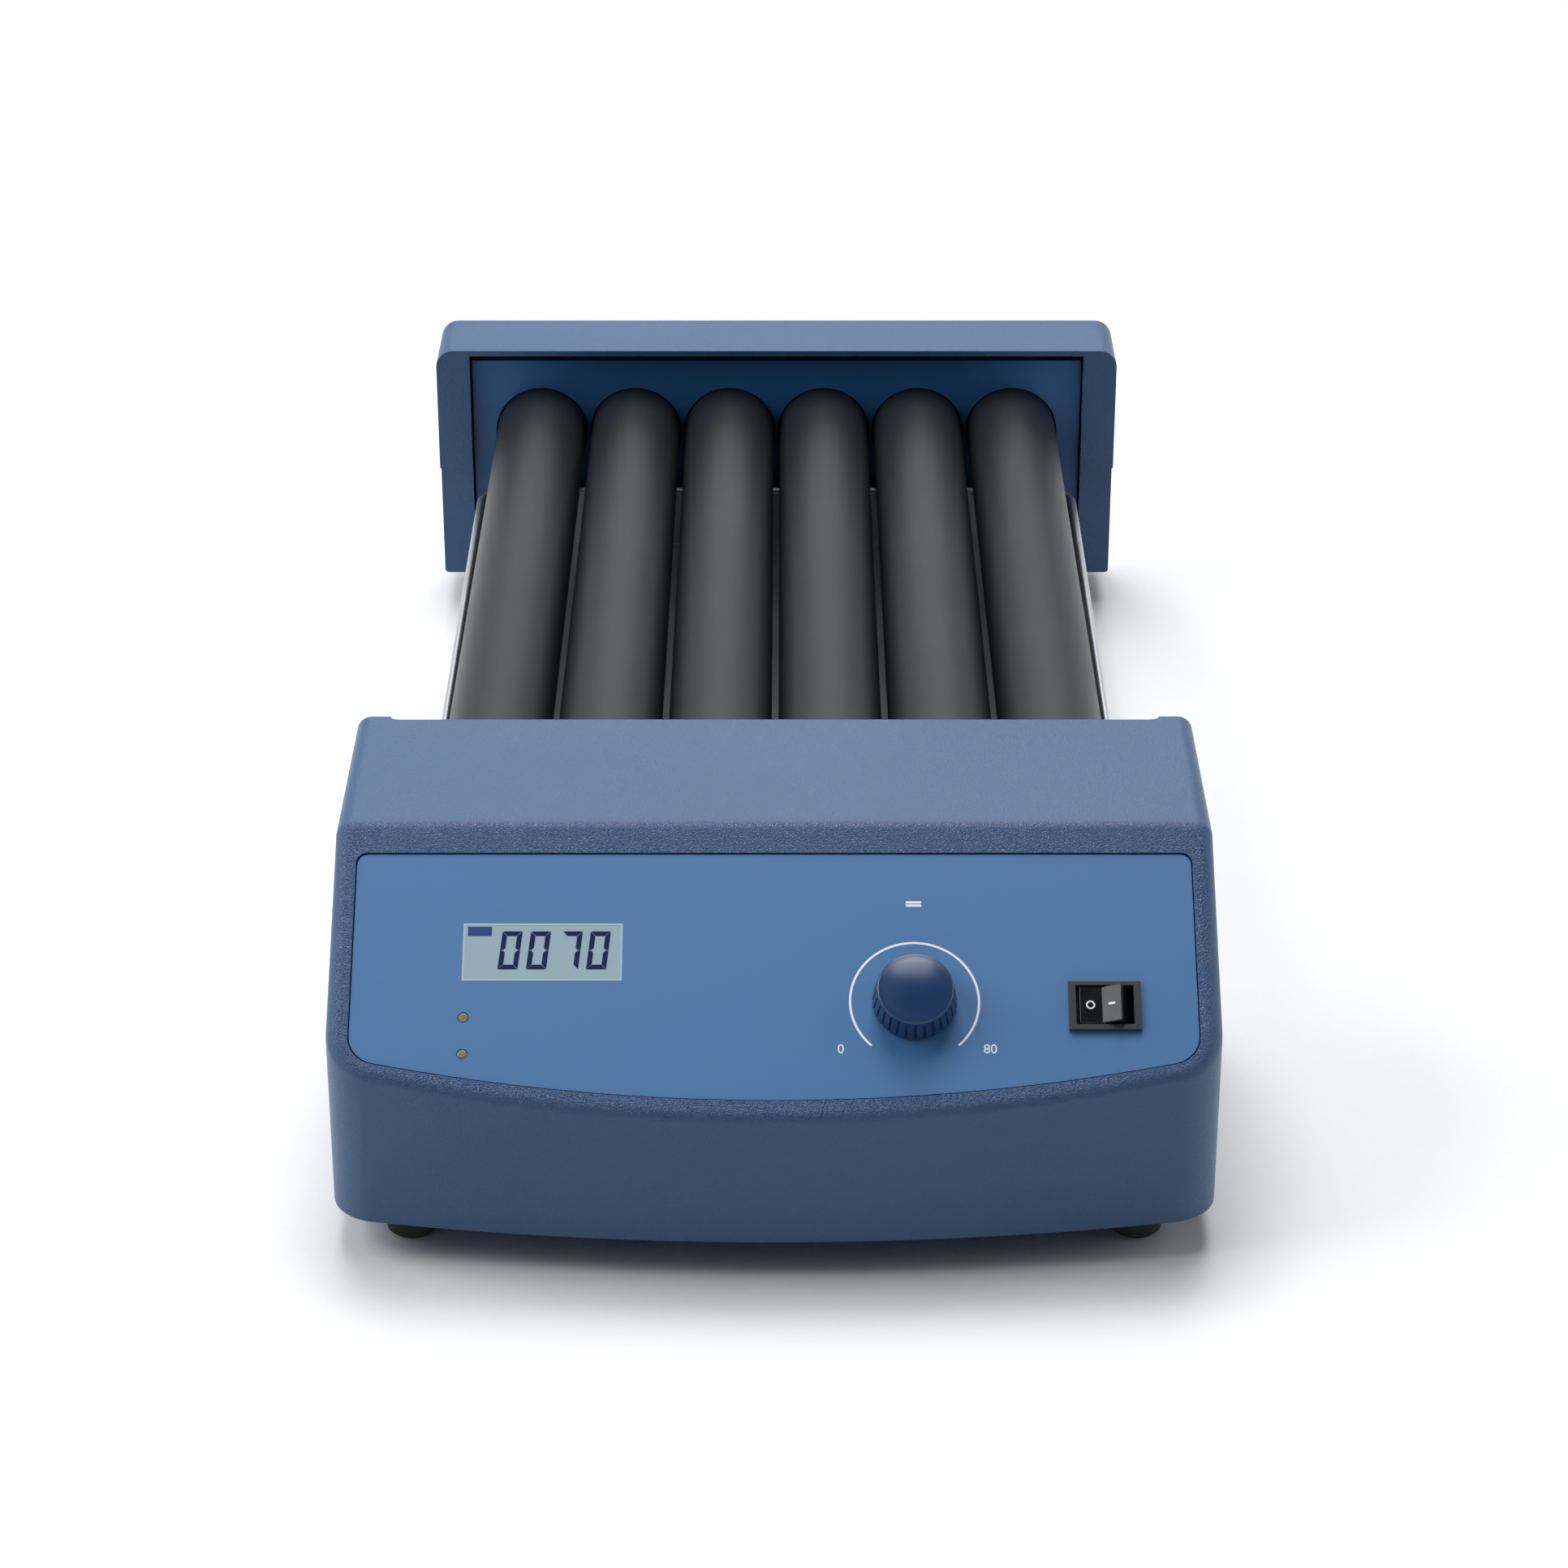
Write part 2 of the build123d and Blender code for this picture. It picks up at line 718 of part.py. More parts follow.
with BuildPart() as rear_base:
    with BuildSketch(Plane.XY.offset(foot_height)):
        with Locations((0, base_mid_y)):
            Rectangle(base_width, base_back_y - base_front_y)
    extrude(amount=rear_seam - foot_height)
    fillet(rear_base.edges().filter_by(Axis.Z).group_by(Axis.Y)[-1], radius=rear_corner_radius)
    fillet(rear_base.edges().group_by(Axis.Z)[0], radius=rear_foot_radius)
    with BuildSketch(Plane.XY.offset(floor_top)):
        with Locations((0, rear_mid_y)):
            Rectangle(rear_width - 2 * wall, rear_depth - 2 * wall)
        with Locations(*rear_post_places):
            Circle(boss_radius, mode=Mode.SUBTRACT)
    extrude(amount=rear_seam - floor_top, mode=Mode.SUBTRACT)
    add(rear_rim(floor_top, rear_seam), mode=Mode.SUBTRACT)
    with BuildSketch(Plane.XY.offset(foot_height)):
        with Locations(*rear_post_places):
            Circle(screw_head_radius + slack)
    extrude(amount=rear_head_depth, mode=Mode.SUBTRACT)
    with BuildSketch(Plane.XY.offset(foot_height)):
        with Locations(*rear_post_places):
            Circle(screw_radius + slack)
    extrude(amount=rear_seam - foot_height, mode=Mode.SUBTRACT)
    with BuildSketch(Plane.XY.offset(foot_height)):
        with Locations((-foot_x, foot_rear_y), (foot_x, foot_rear_y), *rear_screw_places):
            Circle(screw_radius)
    extrude(amount=wall, mode=Mode.SUBTRACT)

rear_base.part.label = "rear_base"
export_step(rear_base.part, "parts/rear_base.step")


def bushes(front, nose_end):
    """Six flanged bearing bushes, flange first, one for each roller."""
    with BuildPart() as ring:
        with BuildSketch(across(front)):
            with Locations(*[(x, roller_height) for x in roller_x]):
                Circle(bush_radius)
                Circle(stub_radius + running, mode=Mode.SUBTRACT)
        extrude(amount=front - nose_end)
        with BuildSketch(across(front)):
            with Locations(*[(x, roller_height) for x in roller_x]):
                Circle(bush_flange_radius)
                Circle(stub_radius + running, mode=Mode.SUBTRACT)
        extrude(amount=-bush_flange)
    return ring.part


with BuildPart() as near_bearings:
    add(bushes(bulkhead_y - bush_flange, bulkhead_rear_y + bush_nose))

near_bearings.part.label = "near_bearings"
export_step(near_bearings.part, "parts/near_bearings.step")

with BuildPart() as far_bearings:
    add(bushes(bearing_y - bush_flange, bearing_y + plate + bush_nose))

far_bearings.part.label = "far_bearings"
export_step(far_bearings.part, "parts/far_bearings.step")

# Drip tray: folded sheet with a rolled rim round three sides and a low end at the controls
tray_front_y = bulkhead_rear_y + seat_gap
tray_rear_y = rear_panel_y - tray_rear_clearance
tray_lip_x = tray_half_width - tray_lip_radius
tray_lip_y = tray_rear_y - tray_lip_radius
tray_lip_z = tray_lip_height - tray_lip_radius
tray_end_half = tray_lip_x - tray_sheet / 2


def tray_plan(inset):
    """Plan of the tray, drawn in from its rim: square at the controls, rounded at the far end."""
    half = tray_lip_x - inset
    last = tray_lip_y - inset
    with BuildSketch(Plane.XY.offset(tray_floor)) as plan:
        with BuildLine():
            Polyline((-half, tray_front_y), (half, tray_front_y), (half, last), (-half, last), close=True)
        make_face()
        fillet(plan.vertices().group_by(Axis.Y)[-1], radius=tray_corner_radius - inset)
    return plan.sketch


with BuildPart() as drip_tray:
    add(tray_plan(-tray_sheet / 2))
    extrude(amount=tray_lip_z - tray_floor)
    with BuildPart(mode=Mode.SUBTRACT):
        add(tray_plan(tray_sheet / 2))
        extrude(amount=tray_lip_z - tray_floor)
        with BuildSketch(Plane.XY.offset(tray_floor)):
            with Locations((0, (tray_front_y + tray_rear_y) / 2)):
                Rectangle(2 * tray_half_width, tray_rear_y - tray_front_y)
        extrude(amount=tray_sheet, mode=Mode.SUBTRACT)
    with BuildLine() as rim:
        FilletPolyline(
            (-tray_lip_x, tray_front_y, tray_lip_z),
            (-tray_lip_x, tray_lip_y, tray_lip_z),
            (tray_lip_x, tray_lip_y, tray_lip_z),
            (tray_lip_x, tray_front_y, tray_lip_z),
            radius=tray_corner_radius,
        )
    with BuildSketch(Plane(origin=(-tray_lip_x, tray_front_y, tray_lip_z), z_dir=(0, 1, 0))):
        Circle(tray_lip_radius)
    sweep(path=rim.wires()[0])
    with BuildSketch(across(tray_front_y)):
        with Locations((0, (tray_floor + tray_end_height) / 2)):
            Rectangle(2 * tray_end_half, tray_end_height - tray_floor)
    extrude(amount=-tray_sheet)

drip_tray.part.label = "drip_tray"
export_step(drip_tray.part, "parts/drip_tray.step")


def belt(x1, z1, r1, x2, z2, r2, y):
    """A flat belt round two grooves at x and z, standing clear of them by the belt clearance."""
    with BuildPart() as loop:
        with BuildSketch(across(y - belt_width / 2)):
            with Locations((x1, z1)):
                Circle(r1 + belt_clearance + belt_width)
            with Locations((x2, z2)):
                Circle(r2 + belt_clearance + belt_width)
            make_hull()
        extrude(amount=-belt_width)
        with BuildSketch(across(y - belt_width / 2)):
            with Locations((x1, z1)):
                Circle(r1 + belt_clearance)
            with Locations((x2, z2)):
                Circle(r2 + belt_clearance)
            make_hull()
        extrude(amount=-belt_width, mode=Mode.SUBTRACT)
    return loop.part


# Belts between neighbouring rollers lie in two planes by turns
with BuildPart() as link_belts:
    for index in range(roller_count - 1):
        belt_y = groove_a_y if index % 2 == 0 else groove_b_y
        one = (roller_x[index], roller_height, groove_radius)
        other = (roller_x[index + 1], roller_height, groove_radius)
        add(belt(*one, *other, belt_y))

link_belts.part.label = "link_belts"
export_step(link_belts.part, "parts/link_belts.step")

with BuildPart() as motor_belt:
    one = (roller_x[0], roller_height, groove_radius)
    other = (motor_x, motor_height, drive_groove_radius)
    add(belt(*one, *other, groove_b_y))

motor_belt.part.label = "motor_belt"
export_step(motor_belt.part, "parts/motor_belt.step")


# One roller at x = 0, whose body leans up towards its near end while its stubs stay level
body_plane = Plane(
    origin=(0, roller_near_y, roller_height + rock_offset),
    x_dir=(1, 0, 0),
    z_dir=(0, cos(rock_angle), -sin(rock_angle)),
)
body_length = (roller_far_y - roller_near_y) / cos(rock_angle)
far_plane = body_plane.offset(body_length)
near_stub_y = roller_near_y - end_flange / 2
far_stub_y = roller_far_y + far_flange / 2
stub_rear_y = bearing_y + plate + bush_nose + slack

with BuildPart() as sleeve:
    with BuildSketch(body_plane):
        Circle(roller_radius)
        Circle(core_radius, mode=Mode.SUBTRACT)
    extrude(amount=body_length)

with BuildPart() as core:
    with BuildSketch(body_plane.offset(-end_flange)):
        Circle(core_radius)
    extrude(amount=end_flange + body_length + far_flange)
    with BuildSketch(body_plane.offset(plug_depth)):
        Circle(tube_bore)
    extrude(amount=body_length - 2 * plug_depth, mode=Mode.SUBTRACT)
    with BuildSketch(across(near_stub_y)):
        with Locations((0, roller_height)):
            Circle(stub_radius)
    extrude(amount=near_stub_y - stub_front_y)
    with BuildSketch(across(far_stub_y)):
        with Locations((0, roller_height)):
            Circle(stub_radius)
    extrude(amount=far_stub_y - stub_rear_y)

with BuildPart() as pulley:
    with BuildSketch(across(pulley_y)):
        with Locations((0, roller_height)):
            Circle(pulley_radius)
            Circle(stub_radius, mode=Mode.SUBTRACT)
    extrude(amount=pulley_width)
    for groove_y in (groove_a_y, groove_b_y):
        with BuildSketch(across(groove_y + groove_width / 2)):
            with Locations((0, roller_height)):
                Circle(pulley_radius)
                Circle(groove_radius, mode=Mode.SUBTRACT)
        extrude(amount=groove_width, mode=Mode.SUBTRACT)

for index, x in enumerate(roller_x):
    with BuildPart() as roller_sleeve:
        with Locations((x, 0, 0)):
            add(sleeve.part)
    roller_sleeve.part.label = f"roller_sleeve_{index + 1}"
    export_step(roller_sleeve.part, f"parts/roller_sleeve_{index + 1}.step")

    with BuildPart() as roller_core:
        with Locations((x, 0, 0)):
            add(core.part)
    roller_core.part.label = f"roller_core_{index + 1}"
    export_step(roller_core.part, f"parts/roller_core_{index + 1}.step")

    with BuildPart() as roller_pulley:
        with Locations((x, 0, 0)):
            add(pulley.part)
    roller_pulley.part.label = f"roller_pulley_{index + 1}"
    export_step(roller_pulley.part, f"parts/roller_pulley_{index + 1}.step")

# Motor, gearbox, bracket and drive pulley
gear_front_y = gear_face_y - gearbox_length
motor_front_y = gear_front_y - motor_length

with BuildPart() as motor:
    with BuildSketch(across(motor_front_y)):
        with Locations((motor_x, motor_height)):
            Circle(motor_radius)
    extrude(amount=-motor_length)
    with BuildSketch(across(motor_front_y)):
        with Locations((motor_x, motor_height)):
            Circle(motor_radius / 3)
    extrude(amount=wall)

motor.part.label = "motor"
export_step(motor.part, "parts/motor.step")

with BuildPart() as gearbox:
    with BuildSketch(across(gear_front_y)):
        with Locations((motor_x, motor_height)):
            Circle(gearbox_radius)
    extrude(amount=-gearbox_length)
    with BuildSketch(across(gear_face_y)):
        with Locations((motor_x, motor_height)):
            Circle(2 * drive_shaft_radius)
    extrude(amount=-bracket_thickness)
    with BuildSketch(across(gear_face_y + bracket_thickness)):
        with Locations((motor_x, motor_height)):
            Circle(drive_shaft_radius + running)
    extrude(amount=gearbox_length / 2, mode=Mode.SUBTRACT)

gearbox.part.label = "gearbox"
export_step(gearbox.part, "parts/gearbox.step")

drive_front_y = groove_b_y - groove_width / 2 - pulley_rib

with BuildPart() as gearbox_shaft:
    with BuildSketch(across(gear_face_y + bracket_thickness - gearbox_length / 2 + slack)):
        with Locations((motor_x, motor_height)):
            Circle(drive_shaft_radius)
    extrude(amount=-(pulley_y - gear_face_y - bracket_thickness + gearbox_length / 2 - slack))

gearbox_shaft.part.label = "gearbox_shaft"
export_step(gearbox_shaft.part, "parts/gearbox_shaft.step")

with BuildPart() as drive_pulley:
    with BuildSketch(across(pulley_y)):
        with Locations((motor_x, motor_height)):
            Circle(drive_flange_radius)
            Circle(drive_shaft_radius, mode=Mode.SUBTRACT)
    extrude(amount=pulley_y - drive_front_y)
    with BuildSketch(across(groove_b_y + groove_width / 2)):
        with Locations((motor_x, motor_height)):
            Circle(drive_flange_radius)
            Circle(drive_groove_radius, mode=Mode.SUBTRACT)
    extrude(amount=groove_width, mode=Mode.SUBTRACT)

drive_pulley.part.label = "drive_pulley"
export_step(drive_pulley.part, "parts/drive_pulley.step")

bracket_top = motor_height + gearbox_radius + wall
bracket_foot_y = gear_face_y + (bracket_thickness - flange_reach) / 2

with BuildPart() as motor_bracket:
    with BuildSketch(across(gear_face_y)):
        with Locations((motor_x, (deck_top + bracket_top) / 2)):
            Rectangle(2 * bracket_half_width, bracket_top - deck_top)
        with Locations((motor_x, motor_height)):
            Circle(2 * drive_shaft_radius, mode=Mode.SUBTRACT)
    extrude(amount=-bracket_thickness)
    with BuildSketch(Plane.XY.offset(deck_top)):
        with Locations((motor_x, bracket_foot_y)):
            Rectangle(2 * bracket_half_width, bracket_thickness + flange_reach)
        with Locations(*bracket_screw_places):
            Circle(screw_radius, mode=Mode.SUBTRACT)
    extrude(amount=bracket_thickness)

motor_bracket.part.label = "motor_bracket"
export_step(motor_bracket.part, "parts/motor_bracket.step")

# Control board on standoffs, and the transformer beside it
board_x = 2.0
board_y = front_y + 36.0
board_top = deck_top + board_lift
board_mid = (board_x + board_width / 2 - wall, board_y + board_length / 2)
standoff_places = [
    (board_mid[0] + i * (board_width / 2 - 2 * wall), board_mid[1] + j * (board_length / 2 - 2 * wall))
    for i in (-1, 1)
    for j in (-1, 1)
]

with BuildPart() as board_standoffs:
    with BuildSketch(Plane.XY.offset(deck_top)):
        with Locations(*standoff_places):
            Circle(standoff_radius)
    extrude(amount=board_lift)

board_standoffs.part.label = "board_standoffs"
export_step(board_standoffs.part, "parts/board_standoffs.step")

with BuildPart() as control_board:
    with BuildSketch(Plane.XY.offset(board_top)):
        with Locations(board_mid):
            Rectangle(board_width - 2 * wall, board_length)
    extrude(amount=board_thickness)
    with BuildSketch(Plane.XY.offset(board_top + board_thickness)):
        with GridLocations(board_width / 4, board_length / 3, 3, 2) as grid:
            spots = [(p.position.X + board_mid[0], p.position.Y + board_mid[1]) for p in grid.locations]
        with Locations(*spots):
            Rectangle(board_width / 9, board_length / 6)
    extrude(amount=board_lift)

control_board.part.label = "control_board"
export_step(control_board.part, "parts/control_board.step")

transformer_mid = (-wall - transformer_width / 2, board_mid[1])

with BuildPart() as transformer:
    with BuildSketch(Plane.XY.offset(deck_top)):
        with Locations(transformer_mid):
            Rectangle(transformer_width, transformer_depth)
    extrude(amount=transformer_height)
    fillet(transformer.edges().filter_by(Axis.Z), radius=wall / 2)

transformer.part.label = "transformer"
export_step(transformer.part, "parts/transformer.step")

# Mains inlet, flush in the right wall of the control housing
with BuildPart() as mains_inlet:
    with BuildSketch(Plane.YZ.offset(head_width / 2)):
        with Locations((inlet_y, inlet_height)):
            Rectangle(inlet_length, inlet_width)
    extrude(amount=-inlet_flange)
    with BuildSketch(Plane.YZ.offset(head_width / 2)):
        with Locations((inlet_y, inlet_height)):
            Rectangle(inlet_body_length, inlet_body_width)
    extrude(amount=-inlet_depth)
    with BuildSketch(Plane.YZ.offset(head_width / 2)):
        with Locations((inlet_y, inlet_height)):
            Rectangle(inlet_socket_length, inlet_socket_width)
    extrude(amount=-inlet_socket_depth, mode=Mode.SUBTRACT)
    with BuildSketch(Plane.YZ.offset(head_width / 2 - inlet_socket_depth)):
        with Locations(
            (inlet_y - inlet_socket_length / 3.4, inlet_height - board_thickness),
            (inlet_y, inlet_height + wall / 2),
            (inlet_y + inlet_socket_length / 3.4, inlet_height - board_thickness),
        ):
            Rectangle(chassis_plate, 2 * chassis_plate)
    extrude(amount=inlet_socket_depth * 0.6)

mains_inlet.part.label = "mains_inlet"
export_step(mains_inlet.part, "parts/mains_inlet.step")

# Feet and their screws
foot_places = [(side * foot_x, y) for side in (-1, 1) for y in (foot_front_y, foot_rear_y)]

with BuildPart() as rubber_feet:
    with BuildSketch():
        with Locations(*foot_places):
            Circle(foot_radius)
    extrude(amount=foot_height)
    chamfer(rubber_feet.edges().group_by(Axis.Z)[0], length=foot_edge)
    with BuildSketch():
        with Locations(*foot_places):
            Circle(foot_recess_radius)
    extrude(amount=foot_recess, mode=Mode.SUBTRACT)
    with BuildSketch():
        with Locations(*foot_places):
            Circle(screw_radius)
    extrude(amount=foot_height, mode=Mode.SUBTRACT)

rubber_feet.part.label = "rubber_feet"
export_step(rubber_feet.part, "parts/rubber_feet.step")

with BuildPart() as foot_screws:
    with BuildSketch(Plane.XY.offset(foot_recess)):
        with Locations(*foot_places):
            Circle(screw_head_radius)
    extrude(amount=-screw_head)
    with BuildSketch(Plane.XY.offset(foot_recess)):
        with Locations(*foot_places):
            Circle(screw_radius)
    extrude(amount=floor_top - foot_recess)

foot_screws.part.label = "foot_screws"
export_step(foot_screws.part, "parts/foot_screws.step")

cover_screw_head = wall / 2 - slack

with BuildPart() as cover_screws:
    with BuildSketch(Plane.XY.offset(foot_height + wall / 2)):
        with Locations(*head_post_places):
            Circle(screw_head_radius)
    extrude(amount=-cover_screw_head)
    with BuildSketch(Plane.XY.offset(foot_height + wall / 2)):
        with Locations(*head_post_places):
            Circle(screw_radius - running)
    extrude(amount=wall / 2 + screw_bite - slack)
    with BuildSketch(Plane.XY.offset(foot_height + rear_head_depth)):
        with Locations(*rear_post_places):
            Circle(screw_head_radius)
    extrude(amount=-screw_head)
    with BuildSketch(Plane.XY.offset(foot_height + rear_head_depth)):
        with Locations(*rear_post_places):
            Circle(screw_radius - running)
    extrude(amount=rear_seam - foot_height - rear_head_depth + screw_bite - slack)

cover_screws.part.label = "cover_screws"
export_step(cover_screws.part, "parts/cover_screws.step")

with BuildPart() as frame_screws:
    for places, head_from in (
        (front_screw_places, deck_top + chassis_plate),
        (rear_screw_places, bearing_foot + chassis_plate),
    ):
        with BuildSketch(Plane.XY.offset(head_from)):
            with Locations(*places):
                Circle(screw_head_radius)
        extrude(amount=screw_head)
        with BuildSketch(Plane.XY.offset(foot_height + slack)):
            with Locations(*places):
                Circle(screw_radius)
        extrude(amount=head_from - foot_height - slack)

frame_screws.part.label = "frame_screws"
export_step(frame_screws.part, "parts/frame_screws.step")
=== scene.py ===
"""A roller mixer on a pale bench: its visible surfaces and finishes, the light and the camera.

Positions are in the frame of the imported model: X across the rollers, Y along them from the controls to
the far housing, Z up. Sizes are held in millimetres and become metres when a mesh is made.
"""

from __future__ import annotations

import json
import logging
import math
from dataclasses import dataclass
from enum import Enum
from typing import Any, Mapping, Sequence

import bmesh
import bpy
import numpy as np
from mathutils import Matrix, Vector

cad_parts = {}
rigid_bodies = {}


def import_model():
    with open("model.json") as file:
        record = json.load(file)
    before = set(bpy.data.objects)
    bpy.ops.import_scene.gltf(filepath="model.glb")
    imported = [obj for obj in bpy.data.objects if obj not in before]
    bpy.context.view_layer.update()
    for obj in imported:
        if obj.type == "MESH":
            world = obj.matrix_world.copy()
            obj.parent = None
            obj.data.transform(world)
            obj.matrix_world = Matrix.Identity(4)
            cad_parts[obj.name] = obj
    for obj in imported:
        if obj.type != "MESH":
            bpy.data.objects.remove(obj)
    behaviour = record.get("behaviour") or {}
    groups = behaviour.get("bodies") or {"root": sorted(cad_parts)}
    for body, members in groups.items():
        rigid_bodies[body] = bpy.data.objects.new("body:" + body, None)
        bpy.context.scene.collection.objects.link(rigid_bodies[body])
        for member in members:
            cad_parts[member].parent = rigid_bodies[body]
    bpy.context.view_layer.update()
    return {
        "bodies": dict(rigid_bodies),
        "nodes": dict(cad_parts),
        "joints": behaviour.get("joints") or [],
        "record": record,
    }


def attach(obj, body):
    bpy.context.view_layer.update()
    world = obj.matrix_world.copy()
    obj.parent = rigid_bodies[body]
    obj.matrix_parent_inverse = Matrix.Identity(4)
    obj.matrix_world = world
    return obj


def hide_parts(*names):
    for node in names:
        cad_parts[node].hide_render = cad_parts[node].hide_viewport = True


LOG = logging.getLogger("roller_mixer")
METRE = 0.001  # one millimetre, in metres
MERGE_DISTANCE = 2e-6  # points closer than this are one, in metres
CREASE_DEGREES = 35.0  # a sharper edge stays sharp
FLAT_DEGREES = 0.2  # faces that meet at less are made one

# The sloped control face: its upper edge, its slope, and the directions down it and out of it
FACE_EDGE = (0.0, -162.181, 99.0)
FACE_DEGREES = 36.0
FACE_DOWN = (0.0, -math.cos(math.radians(FACE_DEGREES)), -math.sin(math.radians(FACE_DEGREES)))
FACE_OUT = (0.0, -math.sin(math.radians(FACE_DEGREES)), math.cos(math.radians(FACE_DEGREES)))
RIM_FALL = (0.3, 1.6)  # its rim's grain and its darker painted shade begin to fade, and have gone, at these depths below it


# Finishes


def linear(colour: str) -> tuple[float, float, float, float]:
    """Turns an sRGB hex colour into linear light.

    Args:
        colour: six hex digits with a leading hash.

    Returns:
        Linear red, green, blue and an alpha of one.
    """
    parts = np.array([int(colour[i : i + 2], 16) for i in (1, 3, 5)]) / 255.0
    low = parts / 12.92
    high = ((parts + 0.055) / 1.055) ** 2.4
    red, green, blue = np.where(parts <= 0.04045, low, high)
    return float(red), float(green), float(blue), 1.0


def add_node(
    tree: bpy.types.NodeTree,
    kind: str,
    settings: Mapping[Any, Any] | None = None,
    links: Mapping[Any, bpy.types.NodeSocket] | None = None,
) -> bpy.types.Node:
    """Adds a node with its settings and links.

    Args:
        tree: the node tree that takes it.
        kind: the node's type name.
        settings: values by property name, or by input name or number.
        links: output sockets by the name or number of the input that they feed.

    Returns:
        The new node.
    """
    node = tree.nodes.new(kind)
    for key, value in (settings or {}).items():
        if isinstance(key, str) and hasattr(node, key):
            setattr(node, key, value)
        else:
            node.inputs[key].default_value = value
    for key, socket in (links or {}).items():
        tree.links.new(socket, node.inputs[key])
    return node


class Relief(Enum):
    """How a surface was formed, which decides the shape of its relief."""

    LEATHER = "cells parted by fine creases, as etched into a mould"
    SPARK = "even pits, as a spark-eroded mould leaves"
    GROUND = "a torn matt skin, as rubber has after grinding"
    DRAWN = "fine lines along Y, as rolled or brushed sheet has"
    SMOOTH = "a faint waviness, as polished moulds leave"


LEATHER_BEND = 0.7  # how far the cells are pushed out of shape, as a share of a cell
LEATHER_CREASE = 0.22  # a crease's half width, as a share of a cell
DRAWN_STRETCH = 0.012  # a drawn line's width as a share of its length
# Detail and roughness of the noise that makes the pits, the torn skin and the waviness
PITS = {Relief.SPARK: (2.0, 0.5), Relief.GROUND: (6.0, 0.75), Relief.SMOOTH: (0.0, 0.5)}
TONE_RANGE = (0.55, 1.45)  # blotch and relief together, from the shade to the colour: painted shade in the relief's lows, a real uneven tone in the blotches
GLOSS_RANGE = (0.5, 1.5)  # the same, from the dullest to the glossiest


def near_control_face(tree: bpy.types.NodeTree, place: bpy.types.NodeSocket) -> bpy.types.NodeSocket:
    """Adds the nodes that find the rim of the sloped control face.

    A point's height over the face is its distance from the edge along FACE_OUT.

    Args:
        tree: the material's node tree.
        place: object coordinates.

    Returns:
        One on the face, falling smoothly to zero below it.
    """
    above = add_node(
        tree, "ShaderNodeVectorMath", {"operation": "DOT_PRODUCT", 1: FACE_OUT}, {0: place}
    ).outputs["Value"]
    level = float(np.dot(FACE_EDGE, FACE_OUT)) * METRE
    near, far = (level - fall * METRE for fall in RIM_FALL)
    return add_node(
        tree, "ShaderNodeMapRange", {"interpolation_type": "SMOOTHSTEP", 1: far, 2: near}, {0: above}
    ).outputs[0]


